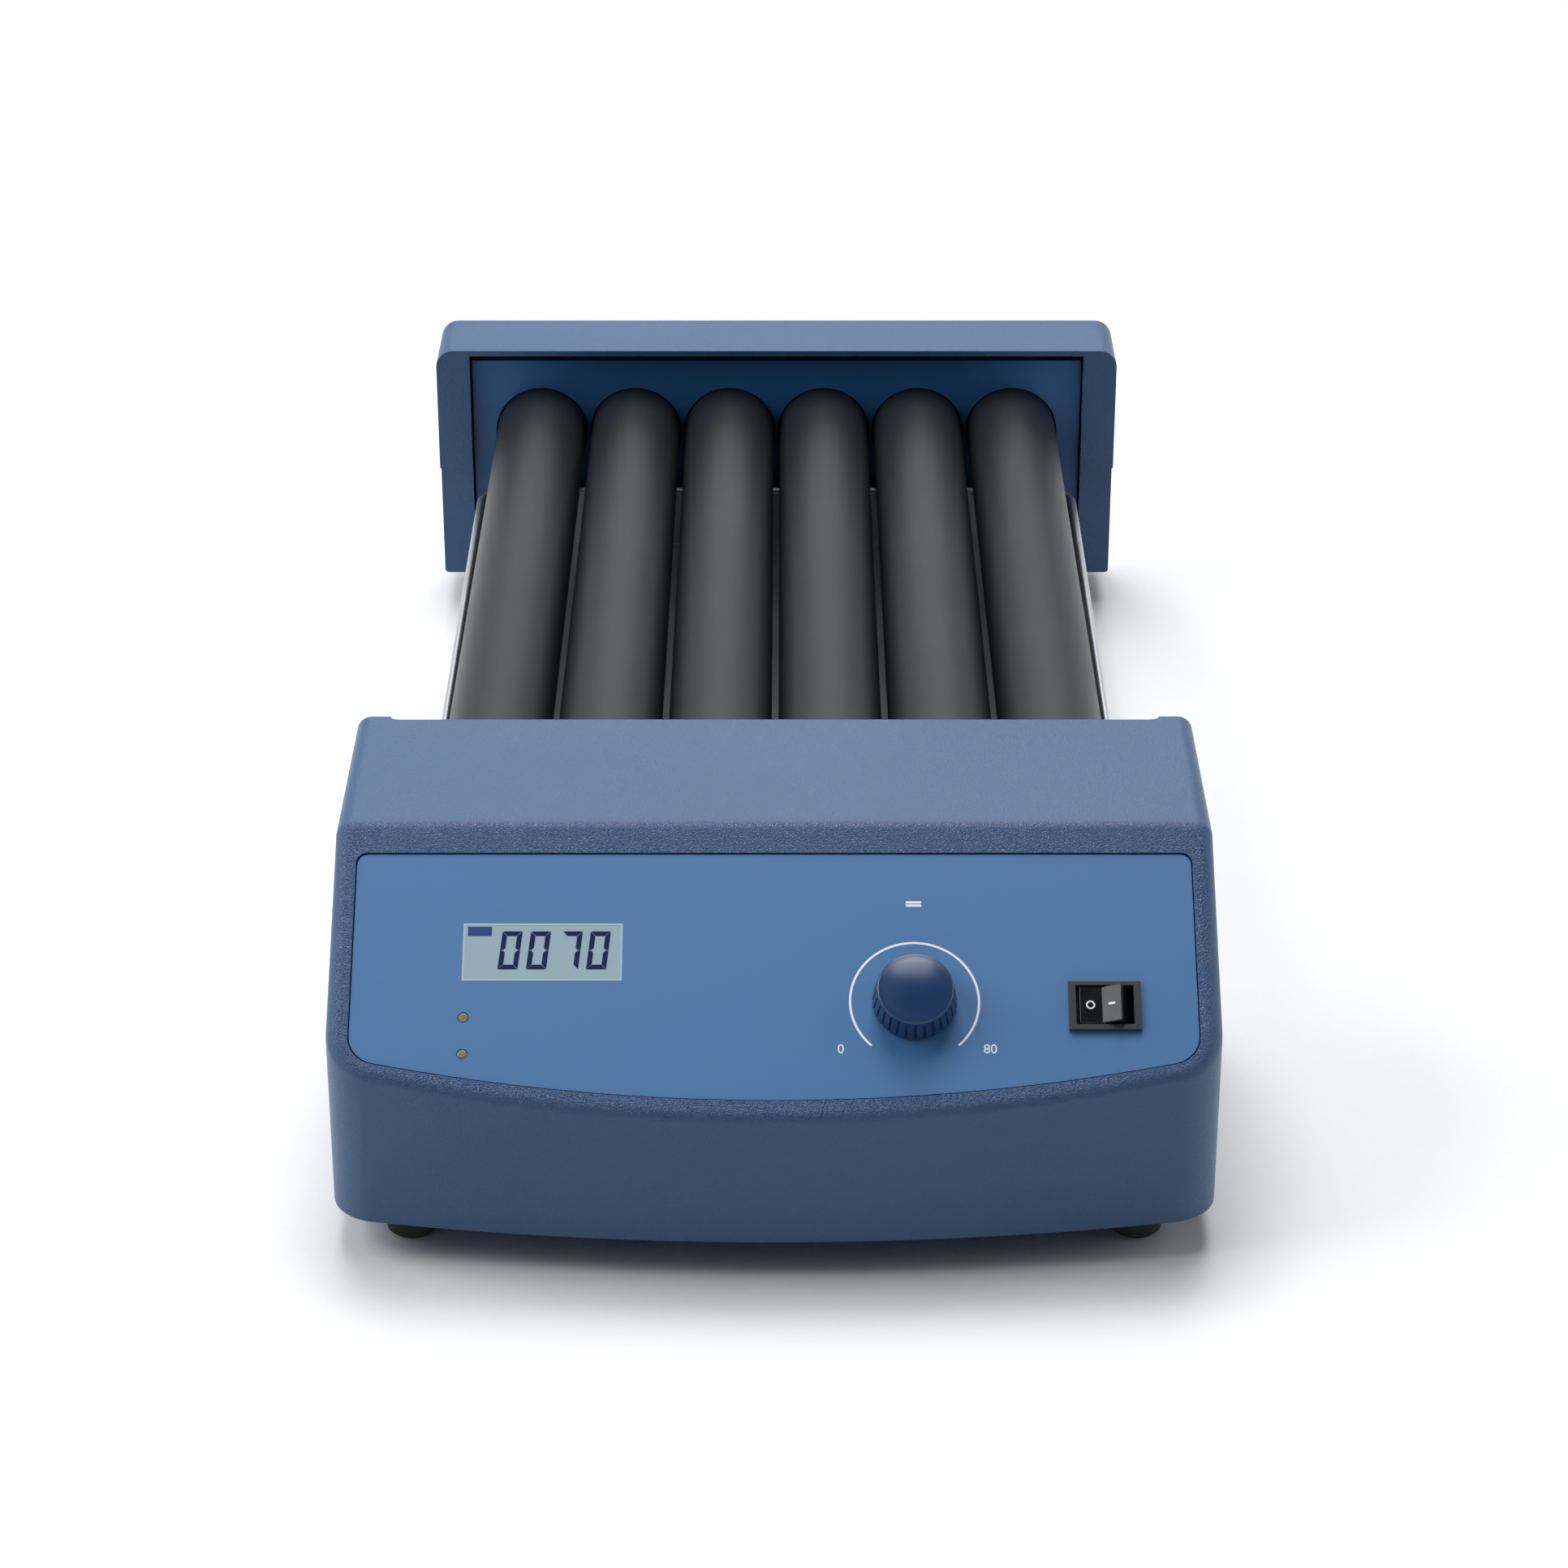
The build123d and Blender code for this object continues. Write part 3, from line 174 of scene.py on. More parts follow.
@dataclass(frozen=True)
class Finish:
    """A material by what it is made of and how its surface was formed.

    The colour is seen on the relief's highs and the shade in its lows, as painted shade in creases and pits,
    and in wide faint blotches, as a real uneven tone. The roughness goes up and down by its spread with
    them.
    The rim's colour, a darker blue that is painted shade, and its depth take over on the control face's rim,
    where a finish has them.
    """

    name: str
    colour: str
    shade: str
    roughness: float
    relief: Relief = Relief.SMOOTH
    spacing_mm: float = 1.0
    depth_mm: float = 0.01
    metallic: float = 0.0
    ior: float = 1.5
    rough_spread: float = 0.06
    blotch_mm: float = 60.0
    # The control face's rim: its relief's depth, and its darker blue, which is painted shade
    rim_depth_mm: float = 0.0
    rim_shade_colour: str = ""

    def material(self) -> bpy.types.Material:
        """Makes the material on first use.

        Returns:
            The material, the same one each time.
        """
        known = bpy.data.materials.get(self.name)
        if known is not None:
            return known
        material = bpy.data.materials.new(self.name)
        material.use_nodes = True
        material.diffuse_color = linear(self.colour)
        tree = material.node_tree
        shader = tree.nodes["Principled BSDF"]
        shader.inputs["Metallic"].default_value = self.metallic
        if not self.metallic:
            shader.inputs["IOR"].default_value = self.ior
        place = add_node(tree, "ShaderNodeTexCoord").outputs["Object"]
        height = self._height(tree, place)
        blotch = add_node(
            tree,
            "ShaderNodeTexNoise",
            {"Scale": 1.0 / (self.blotch_mm * METRE), "Detail": 4.0, "Roughness": 0.6},
            {"Vector": place},
        ).outputs["Fac"]
        # The relief's lows take the shade, which is painted shade in creases and pits; the blotches give a
        # real uneven tone
        both = add_node(tree, "ShaderNodeMath", {"operation": "ADD"}, {0: blotch, 1: height}).outputs[0]
        pale, deep = linear(self.colour), linear(self.shade)
        start, end = TONE_RANGE
        tone = add_node(tree, "ShaderNodeMapRange", {1: start, 2: end}, {0: both}).outputs[0]
        colour = add_node(
            tree, "ShaderNodeMix", {"data_type": "RGBA", 6: deep, 7: pale}, {0: tone}
        ).outputs[2]
        relief = {"Height": height}
        # On the control face's rim the colour turns to a darker blue, which is painted shade, and the relief
        # grows deeper
        if self.rim_shade_colour:
            rim = near_control_face(tree, place)
            rim_shade_colour = {"data_type": "RGBA", 7: linear(self.rim_shade_colour)}
            colour = add_node(tree, "ShaderNodeMix", rim_shade_colour, {0: rim, 6: colour}).outputs[2]
            depths = {3: self.depth_mm * METRE, 4: self.rim_depth_mm * METRE}
            relief["Distance"] = add_node(tree, "ShaderNodeMapRange", depths, {0: rim}).outputs[0]
        tree.links.new(colour, shader.inputs["Base Color"])
        dull, glossy = self.roughness + self.rough_spread, self.roughness - self.rough_spread
        start, end = GLOSS_RANGE
        gloss = add_node(tree, "ShaderNodeMapRange", {1: start, 2: end, 3: dull, 4: glossy}, {0: both})
        tree.links.new(gloss.outputs[0], shader.inputs["Roughness"])
        bump = add_node(tree, "ShaderNodeBump", {"Distance": self.depth_mm * METRE, "Strength": 1.0}, relief)
        tree.links.new(bump.outputs["Normal"], shader.inputs["Normal"])
        return material

    def _height(self, tree: bpy.types.NodeTree, place: bpy.types.NodeSocket) -> bpy.types.NodeSocket:
        """Adds the nodes of the relief.

        Args:
            tree: the material's node tree.
            place: object coordinates.

        Returns:
            A height from zero in the lows to one on the highs.
        """
        scale = 1.0 / (self.spacing_mm * METRE)
        if self.relief is Relief.LEATHER:
            bend = add_node(
                tree, "ShaderNodeTexNoise", {"Scale": scale * LEATHER_BEND, "Detail": 2.0}, {"Vector": place}
            )
            shift = add_node(
                tree,
                "ShaderNodeVectorMath",
                {"operation": "SCALE", "Scale": LEATHER_BEND / scale},
                {0: bend.outputs["Color"]},
            )
            bent = add_node(
                tree, "ShaderNodeVectorMath", {"operation": "ADD"}, {0: place, 1: shift.outputs[0]}
            )
            cells = add_node(
                tree,
                "ShaderNodeTexVoronoi",
                {"feature": "DISTANCE_TO_EDGE", "Scale": scale},
                {"Vector": bent.outputs[0]},
            )
            return add_node(
                tree, "ShaderNodeMapRange", {1: 0.0, 2: LEATHER_CREASE}, {0: cells.outputs["Distance"]}
            ).outputs[0]
        if self.relief is Relief.DRAWN:
            along = add_node(
                tree,
                "ShaderNodeMapping",
                {"Scale": (scale, scale * DRAWN_STRETCH, scale)},
                {"Vector": place},
            )
            return add_node(
                tree, "ShaderNodeTexNoise", {"Scale": 1.0, "Detail": 3.0}, {"Vector": along.outputs[0]}
            ).outputs["Fac"]
        detail, rough = PITS[self.relief]
        return add_node(
            tree,
            "ShaderNodeTexNoise",
            {"Scale": scale, "Detail": detail, "Roughness": rough},
            {"Vector": place},
        ).outputs["Fac"]


# Surfaces


@dataclass
class Grid:
    """A sheet of points in rows and columns, in millimetres."""

    points: np.ndarray
    closed: bool = False
    looped: bool = False

    def faces(self, start: int) -> np.ndarray:
        """Joins each point to the next in its row and in the next row.

        Args:
            start: the number of the grid's first point in the whole mesh.

        Returns:
            Four point numbers for each face.
        """
        rows, columns = self.points.shape[:2]
        number = np.arange(rows * columns).reshape(rows, columns) + start
        if self.closed:
            number = np.concatenate([number, number[:, :1]], axis=1)
        if self.looped:
            number = np.concatenate([number, number[:1]], axis=0)
        corners = (number[:-1, :-1], number[:-1, 1:], number[1:, 1:], number[1:, :-1])
        return np.stack(corners, axis=-1).reshape(-1, 4)


@dataclass
class Piece:
    """A visible piece: its name, its surfaces and how it is dressed and carried."""

    name: str
    grids: Sequence[Grid]
    finish: Finish
    body: str
    nodes: Sequence[str] = ()
    slot: str = ""
    crease: float = CREASE_DEGREES

    def build(self) -> bpy.types.Object:
        """Makes the mesh at its place, merges the grids' shared edges and turns the faces outwards.

        Returns:
            The dressed piece.
        """
        points = np.concatenate([grid.points.reshape(-1, 3) for grid in self.grids]) * METRE
        faces, start = [], 0
        for grid in self.grids:
            faces.append(grid.faces(start))
            start += grid.points.shape[0] * grid.points.shape[1]
        corners = np.concatenate(faces)
        mesh = bpy.data.meshes.new(self.name)
        mesh.vertices.add(len(points))
        mesh.vertices.foreach_set("co", points.astype(np.float32).ravel())
        mesh.loops.add(corners.size)
        mesh.loops.foreach_set("vertex_index", corners.ravel())
        mesh.polygons.add(len(corners))
        mesh.polygons.foreach_set("loop_start", np.arange(0, corners.size, 4))
        mesh.update(calc_edges=True)
        close_and_turn(mesh, fill=True)
        return dress(mesh, self.name, self.finish, self.body, self.nodes, self.slot, self.crease)


def close_and_turn(mesh: bpy.types.Mesh, fill: bool) -> None:
    """Merges doubled points and flat neighbours and turns the faces outwards.

    Args:
        mesh: the mesh, which is changed in place.
        fill: whether open flat ends are closed.
    """
    work = bmesh.new()
    work.from_mesh(mesh)
    bmesh.ops.remove_doubles(work, verts=work.verts, dist=MERGE_DISTANCE)
    bmesh.ops.dissolve_degenerate(work, edges=work.edges, dist=MERGE_DISTANCE / 2)
    if fill:
        rim = [edge for edge in work.edges if edge.is_boundary]
        bmesh.ops.holes_fill(work, edges=rim, sides=0)
    flat = math.radians(FLAT_DEGREES)
    bmesh.ops.dissolve_limit(work, verts=work.verts, edges=work.edges, angle_limit=flat)
    bmesh.ops.recalc_face_normals(work, faces=work.faces)
    work.to_mesh(mesh)
    work.free()


def dress(
    mesh: bpy.types.Mesh,
    name: str,
    finish: Finish,
    body: str,
    nodes: Sequence[str],
    slot: str,
    crease: float = CREASE_DEGREES,
) -> bpy.types.Object:
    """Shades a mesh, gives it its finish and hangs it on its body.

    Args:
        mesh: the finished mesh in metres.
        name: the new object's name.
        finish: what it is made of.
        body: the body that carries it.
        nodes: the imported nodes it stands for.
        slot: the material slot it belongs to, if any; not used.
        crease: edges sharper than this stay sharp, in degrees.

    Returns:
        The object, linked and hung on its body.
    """
    mesh.shade_smooth()
    mesh.set_sharp_from_angle(angle=math.radians(crease))
    mesh.materials.clear()
    mesh.materials.append(finish.material())
    piece = bpy.data.objects.new(name, mesh)
    bpy.context.scene.collection.objects.link(piece)
    weigh = piece.modifiers.new("Large faces stay flat", "WEIGHTED_NORMAL")
    weigh.keep_sharp = True
    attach(piece, body)
    if nodes:
        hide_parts(*nodes)
    LOG.info("%s: %d faces, %s", name, len(mesh.polygons), finish.name)
    return piece


@dataclass(frozen=True)
class Basis:
    """An origin and three directions: points are given along them."""

    origin: tuple[float, float, float]
    first: tuple[float, float, float] = (1.0, 0.0, 0.0)
    second: tuple[float, float, float] = (0.0, 1.0, 0.0)
    third: tuple[float, float, float] = (0.0, 0.0, 1.0)

    def place(self, a: np.ndarray | float, b: np.ndarray | float, c: np.ndarray | float) -> np.ndarray:
        """Works out origin + a * first + b * second + c * third for whole arrays.

        Args:
            a: how far each point lies along the first direction.
            b: how far it lies along the second.
            c: how far it lies along the third.

        Returns:
            The points, with X, Y and Z along the last axis.
        """
        shares = np.broadcast_arrays(*(np.asarray(part, float) for part in (a, b, c)))
        directions = (self.first, self.second, self.third)
        steps = [share[..., None] * np.array(direction) for share, direction in zip(shares, directions)]
        return np.array(self.origin) + steps[0] + steps[1] + steps[2]

    def moved(self, a: float, b: float, c: float) -> Basis:
        """Returns the same directions from another origin."""
        return Basis(tuple(self.place(a, b, c)), self.first, self.second, self.third)

    def leaned(self, degrees: float) -> Basis:
        """Turns the basis about its second direction, which lifts the first towards the third.

        Args:
            degrees: the angle of the turn.

        Returns:
            The same origin with first * cos + third * sin and third * cos - first * sin.
        """
        first, third = np.array(self.first), np.array(self.third)
        cos, sin = math.cos(math.radians(degrees)), math.sin(math.radians(degrees))
        lifted, tipped = cos * first + sin * third, cos * third - sin * first
        return Basis(self.origin, tuple(lifted), self.second, tuple(tipped))

    def slab(self, outline: np.ndarray, heights: Sequence[tuple[float, float]]) -> list[Grid]:
        """Stacks copies of a flat outline, each drawn in towards its middle.

        A row's point is middle + (point - middle) * (1 - inset / reach), where reach is half the outline's
        width or height.

        Args:
            outline: closed (first, second) points.
            heights: (inset, height) of each row, from one open end to the other.

        Returns:
            The wall; its flat ends are left to the piece's own filling.
        """
        middle = (outline.max(axis=0) + outline.min(axis=0)) / 2.0
        reach = (outline.max(axis=0) - outline.min(axis=0)) / 2.0
        rows = []
        for inset, height in heights:
            drawn = middle + (outline - middle) * (1.0 - inset / reach)
            rows.append(self.place(drawn[:, 0], drawn[:, 1], height))
        return [Grid(np.stack(rows), closed=True)]


def turned(
    profile: np.ndarray,
    basis: Basis,
    count: int,
    looped: bool = False,
    swell: np.ndarray | None = None,
) -> Grid:
    """Turns a profile of (radius, height) pairs about the basis's third direction.

    A point is origin + r cos a * first + r sin a * second + height * third.

    Args:
        profile: radius and height pairs, in order.
        basis: the axis and the two directions square to it.
        count: how many columns go round.
        looped: whether the profile's last pair joins its first.
        swell: an optional change of radius for each pair and column.

    Returns:
        A grid, closed round the axis.
    """
    angle = np.radians(np.linspace(0.0, 360.0, count, endpoint=False))
    radius = np.broadcast_to(profile[:, :1], (len(profile), count))
    if swell is not None:
        radius = radius + swell
    height = np.broadcast_to(profile[:, 1:2], radius.shape)
    return Grid(basis.place(radius * np.cos(angle), radius * np.sin(angle), height), True, looped)


def rounded(corners: Sequence[Sequence[float]], radii: Sequence[float], steps: int = 6) -> np.ndarray:
    """Rounds the corners of a closed outline with arcs tangent to both sides.

    Each arc is centred on the corner's bisector at radius / sin(half the corner's angle), and turns from
    one side's normal to the other's.

    Args:
        corners: the outline's corners in order.
        radii: a radius for each corner.
        steps: strips in each arc.

    Returns:
        The rounded outline's points, steps + 1 for each corner.
    """
    corner = np.asarray(corners, float)
    back = np.roll(corner, 1, axis=0) - corner
    ahead = np.roll(corner, -1, axis=0) - corner
    back /= np.linalg.norm(back, axis=1, keepdims=True)
    ahead /= np.linalg.norm(ahead, axis=1, keepdims=True)
    middle = back + ahead
    middle /= np.linalg.norm(middle, axis=1, keepdims=True)
    half = np.arccos(np.clip((back * ahead).sum(axis=1), -1.0, 1.0)) / 2.0
    radius = np.asarray(radii, float)
    centre = corner + middle * (radius / np.sin(half))[:, None]
    start = corner + back * (radius / np.tan(half))[:, None] - centre
    end = corner + ahead * (radius / np.tan(half))[:, None] - centre
    first = np.arctan2(start[:, 1], start[:, 0])
    sweep = (np.arctan2(end[:, 1], end[:, 0]) - first + np.pi) % (2.0 * np.pi) - np.pi
    angle = first[:, None] + sweep[:, None] * np.linspace(0.0, 1.0, steps + 1)
    arc = np.stack([np.cos(angle), np.sin(angle)], axis=-1) * radius[:, None, None]
    return (centre[:, None] + arc).reshape(-1, 2)


# The mixer's finishes

# Moulded ABS with an etched leather grain: a calm satin blue on the wide faces, a sparkling deeper grain on
# the control face's rim, whose darker blue there is painted shade. Real cells are 0.3 mm wide and are drawn
# at 0.62 mm, the finest that shows.
HOUSING = Finish(
    "blue_grained_abs", "#214E78", "#1E4870", 0.38, Relief.LEATHER, 0.62, 0.042,
    rim_depth_mm=0.08, rim_shade_colour="#17426E",
)
# Printed polyester film on a flat plate: a lighter, even blue with a soft broad sheen. Its fine-matt
# skin has pits of 0.1 mm, drawn at 0.25 mm.
PANEL = Finish("light_blue_panel_film", "#4575A8", "#4271A2", 0.42, Relief.SPARK, 0.25, 0.006)
# Powder coat on sheet steel: a deep blue, raised above the coat's own as painted light for the recessed end
# panel, with hardly any shine and a faint orange peel of 0.4 mm
DARK_BLUE = Finish("dark_blue_powder_coat", "#225E97", "#1F568B", 0.5, Relief.SPARK, 0.4, 0.02)
# The display's glass over its grey-green reflector: smooth, with a clear reflection that barely waves
GLASS = Finish("grey_lcd_glass", "#9FB5C0", "#99B0BB", 0.14, Relief.SMOOTH, 30.0, 0.002)
# Moulded dark plastic round the display module: a plain soft grey that only shows when opened
DISPLAY = Finish("display_frame_plastic", "#2A2D31", "#26292D", 0.4)
# Solder mask on glass-fibre board: a satin dark green
BOARD = Finish("green_circuit_board", "#1F5B3A", "#1B5234", 0.45)
# Tinted epoxy of an unlit lamp: a dull straw colour with one bright point on its dome
LENS = Finish("pale_led_lens", "#85836F", "#7C7A67", 0.2)
# Polished moulded plastic: dark blue, glossy enough for a soft window of light, waved at 6 mm by shrinkage
KNOB = Finish("dark_blue_knob_plastic", "#1D3B64", "#1A365D", 0.25, Relief.SMOOTH, 6.0, 0.004)
# Spark-eroded black nylon: near black with a grey bloom where light grazes its pits of 0.3 mm
BLACK = Finish("black_nylon", "#16181B", "#121417", 0.42, Relief.SPARK, 0.3, 0.01)
# The same mould finish in the switch frame's dark grey, which parts it from the black rocker
FRAME_GREY = Finish("grey_switch_frame", "#2A2E33", "#26292E", 0.42, Relief.SPARK, 0.3, 0.01)
# Rolled stainless sheet: a bright band of light drawn out along its rolling lines. Real lines are a few
# hundredths of a millimetre apart and are drawn at 0.12 mm.
STEEL = Finish("bright_stainless_sheet", "#C9CCCE", "#BDC1C4", 0.38, Relief.DRAWN, 0.12, 0.004, metallic=1.0)
# Zinc plate on pressed sheet: a duller, cooler grey with coarser lines of 0.2 mm
ZINC = Finish("zinc_plated_steel", "#B4B8BA", "#A5AAAD", 0.38, Relief.DRAWN, 0.2, 0.004, metallic=1.0)
# Plated screw heads: small and clean, with a crisp glint
SCREW = Finish("screw_steel", "#9FA3A6", "#94999C", 0.35, metallic=1.0)
# Turned brass: warm yellow and bright
BRASS = Finish("brass_standoff", "#B8924A", "#A88442", 0.3, metallic=1.0)
# Varnished iron laminations: a flat dark grey ruled at the sheets' 0.5 mm
CORE = Finish("transformer_iron", "#4A4D50", "#414447", 0.5, Relief.DRAWN, 0.5, 0.02)
# Natural nylon of the bushes: a milky white with a waxy sheen
NYLON = Finish("white_nylon", "#DAD8CF", "#CFCDC4", 0.4)
# Polished black polycarbonate: black with a clear reflection on each of the rocker's facets
ROCKER = Finish("black_rocker_gloss", "#111316", "#0E1012", 0.22, Relief.SMOOTH, 5.0, 0.002, ior=1.4)
# Pad-printed white ink: a clean matt white
INK = Finish("white_ink", "#EDF1F5", "#E4E9EE", 0.5)
# Lit segments of the liquid crystal: a deep navy under the glass, so with little shine of their own
SEGMENT_INK = Finish("dark_lcd_segments", "#0A1A4C", "#081646", 0.5, ior=1.25)
# The field printed on the display's upper corner: a mid blue as smooth as the glass
FIELD_INK = Finish("blue_lcd_field", "#1F4480", "#1C3F78", 0.3)
# The cut edge of the display's window: a paler line that frames the glass
FRAME_INK = Finish("pale_display_frame", "#A9BEC9", "#A2B7C2", 0.4)
# Moulded drive-belt rubber: matt black, dusty at a grain of 0.5 mm
BELT = Finish("black_belt_rubber", "#1A1A1B", "#151516", 0.7, Relief.GROUND, 0.5, 0.02)
# Soft rubber of the feet: matt black that swallows light, with a grain of 0.6 mm
FOOT = Finish("black_foot_rubber", "#18191A", "#141516", 0.75, Relief.GROUND, 0.6, 0.03)
# Ground rubber of the rollers: charcoal with one broad soft band of light along each. A grinding
# wheel's grit leaves marks of 0.1 mm, drawn at 0.5 mm.
ROLLER = Finish("charcoal_roller_rubber", "#1B1D21", "#17191C", 0.42, Relief.GROUND, 0.5, 0.045, ior=1.34)
# Turned aluminium of the rollers' cores: pale and bright
ALLOY = Finish("turned_alloy", "#B9BDC0", "#AEB2B5", 0.3, metallic=1.0)

# Letters of the lit segments for each digit: a to f clockwise from the top, g in the middle
SEGMENTS = {
    "0": "abcdef", "1": "bc", "2": "abged", "3": "abgcd", "4": "fgbc",
    "5": "afgcd", "6": "afgedc", "7": "abc", "8": "abcdefg", "9": "abcdfg",
}

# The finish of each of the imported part's material slots
BY_SLOT = {
    "housing_plastic": HOUSING,
    "panel_plastic": PANEL,
    "display_glass": GLASS,
    "display_plastic": DISPLAY,
    "board": BOARD,
    "lens": LENS,
    "knob_plastic": KNOB,
    "black_plastic": BLACK,
    "bright_steel": STEEL,
    "zinc_steel": ZINC,
    "painted_panel": DARK_BLUE,
    "screw_steel": SCREW,
    "standoff_brass": BRASS,
    "core_iron": CORE,
    "bush_nylon": NYLON,
    "pulley_nylon": BLACK,
    "belt_rubber": BELT,
    "foot_rubber": FOOT,
    "roller_rubber": ROLLER,
    "roller_metal": ALLOY,
}


# Sub-assemblies

# A place on the control face is given across it, down it and out of it, from the middle of its upper edge
FACE = Basis(FACE_EDGE, (1.0, 0.0, 0.0), FACE_DOWN, FACE_OUT)
PANEL_TOP = -0.4  # the panel lies this far below the face
PRINT_MM = 0.05  # the thickness of ink


def arc(centre: tuple[float, float], radius: float, start: float, end: float, steps: int = 6) -> np.ndarray:
    """Samples a circular arc.

    Args:
        centre: the arc's centre.
        radius: its radius.
        start: first angle in degrees.
        end: last angle in degrees.
        steps: strips along the arc.

    Returns:
        steps + 1 points, centre + radius (cos a, sin a).
    """
    angle = np.radians(np.linspace(start, end, steps + 1))
    return np.array(centre) + radius * np.stack([np.cos(angle), np.sin(angle)], axis=-1)


RING_COLUMNS = 48
ARC_DEGREES = 4.0  # the turn of one strip of a printed arc


@dataclass(frozen=True)
class Ring:
    """A printed circle by its centre, radius and stroke."""

    centre: tuple[float, float]
    radius: float
    stroke: float


@dataclass
class Print:
    """Ink on a face: flat shapes a few hundredths of a millimetre thick."""

    name: str
    finish: Finish
    body: str
    basis: Basis
    level: float

    def build(self, outlines: Sequence[np.ndarray] = (), rings: Sequence[Ring] = ()) -> bpy.types.Object:
        """Builds all shapes as one thin piece.

        Args:
            outlines: closed (first, second) outlines on the face.
            rings: whole circles.

        Returns:
            The printed piece.
        """
        heights = ((0.0, self.level), (0.0, self.level + PRINT_MM))
        grids = [grid for outline in outlines for grid in self.basis.slab(outline, heights)]
        for ring in rings:
            low, high = ring.radius - ring.stroke / 2.0, ring.radius + ring.stroke / 2.0
            foot, top = self.level, self.level + PRINT_MM
            section = np.array([(low, foot), (high, foot), (high, top), (low, top)])
            grids.append(turned(section, self.basis.moved(*ring.centre, 0.0), RING_COLUMNS, looped=True))
        return Piece(self.name, grids, self.finish, self.body).build()


def box(centre: tuple[float, float], size: tuple[float, float]) -> np.ndarray:
    """Returns the outline of a rectangle by its centre and size."""
    half = np.array([[-0.5, -0.5], [0.5, -0.5], [0.5, 0.5], [-0.5, 0.5]])
    return np.array(centre) + half * np.array(size)


def ring_part(
    centre: tuple[float, float],
    radius: float,
    stroke: float,
    start: float,
    end: float,
) -> np.ndarray:
    """Draws the outline of a stroke that follows a circle and has round ends.

    Args:
        centre: the circle's centre.
        radius: the circle's radius.
        stroke: the stroke's width.
        start: first angle in degrees.
        end: last angle in degrees.

    Returns:
        The stroke's closed outline: outer arc, round end, inner arc back, round end.
    """
    steps = int((end - start) / ARC_DEGREES)
    half = stroke / 2.0
    tips = arc(centre, radius, start, end, 1)
    return np.concatenate([
        arc(centre, radius + half, start, end, steps),
        arc(tuple(tips[1]), half, end, end + 180.0)[1:-1],
        arc(centre, radius - half, end, start, steps),
        arc(tuple(tips[0]), half, start + 180.0, start + 360.0)[1:-1],
    ])


@dataclass
class Knob:
    """The speed knob: a flared skirt with cut flutes under a smooth low dome."""

    place: tuple[float, float, float] = (36.8, 51.8, 0.2)
    base_radius: float = 11.1
    top_radius: float = 10.05
    skirt: float = 7.8
    dome: float = 1.5
    lip: float = 0.2
    rounding: float = 0.6
    flutes: int = 28
    flute_half: float = 0.3
    flute_depth: float = 0.6
    flute_runout: float = 0.25
    flute_foot: float = 0.35
    foot_width: float = 1.2
    recess: tuple[float, float] = (7.0, 4.2)
    bore: tuple[float, float] = (3.0, 6.93)
    crown_rows: int = 9
    shoulder_sweep: tuple[float, float] = (84.0, 8.0)
    columns_per_flute: int = 26
    crease: float = 50.0

    def build(self) -> bpy.types.Object:
        """Builds the knob as a turned section with flutes cut into its skirt.

        A flute's depth at a distance d from its middle is depth * sqrt(1 - (d / half)^2).

        Returns:
            The knob's surface.
        """
        profile, depth = self._profile()
        count = self.flutes * self.columns_per_flute
        around = np.linspace(0.0, 1.0, count, endpoint=False) * self.flutes
        pitch = 2.0 * np.pi * self.base_radius / self.flutes
        off = (around - np.round(around)) * pitch
        groove = self.flute_depth * np.sqrt(np.clip(1.0 - (off / self.flute_half) ** 2, 0.0, None))
        grid = turned(profile, FACE.moved(*self.place), count, swell=-depth[:, None] * groove)
        node, slot = "speed_knob", "knob_plastic"
        return Piece("knob", [grid], KNOB, "speed_control", (node,), slot, self.crease).build()

    def _profile(self) -> tuple[np.ndarray, np.ndarray]:
        """Draws the knob's section from the dome's middle to the bore's end.

        The crown is an arc of a ball of radius (top^2 + dome^2) / (2 * dome), and the skirt's radius goes
        evenly from the top's to the base's.

        Returns:
            (radius, height) pairs, and the share of a flute's depth at each.
        """
        ball = (self.top_radius**2 + self.dome**2) / (2.0 * self.dome)
        edge = self.top_radius - self.rounding
        radius = np.linspace(0.0, edge, self.crown_rows)
        crown = np.stack([radius, self.skirt + self.dome - ball + np.sqrt(ball**2 - radius**2)], axis=-1)
        shoulder = arc((edge, crown[-1, 1] - self.rounding), self.rounding, *self.shoulder_sweep)
        low = self.skirt - self.lip - self.rounding
        height = np.array([low, low - self.flute_runout, low / 2.0, self.flute_foot, 0.0])
        flare = (self.base_radius - self.top_radius) * (1.0 - height / self.skirt)
        skirt = np.stack([self.top_radius + flare, height], axis=-1)
        inner = self.base_radius - self.foot_width
        under = [(inner, 0.0), (self.recess[0], 0.0), self.recess, (self.bore[0], self.recess[1])]
        profile = np.concatenate([crown, shoulder, skirt, under, [self.bore, (0.0, self.bore[1])]])
        depth = np.zeros(len(profile))
        first = len(crown) + len(shoulder)
        depth[first + 1 : first + len(skirt)] = 1.0
        return profile, depth


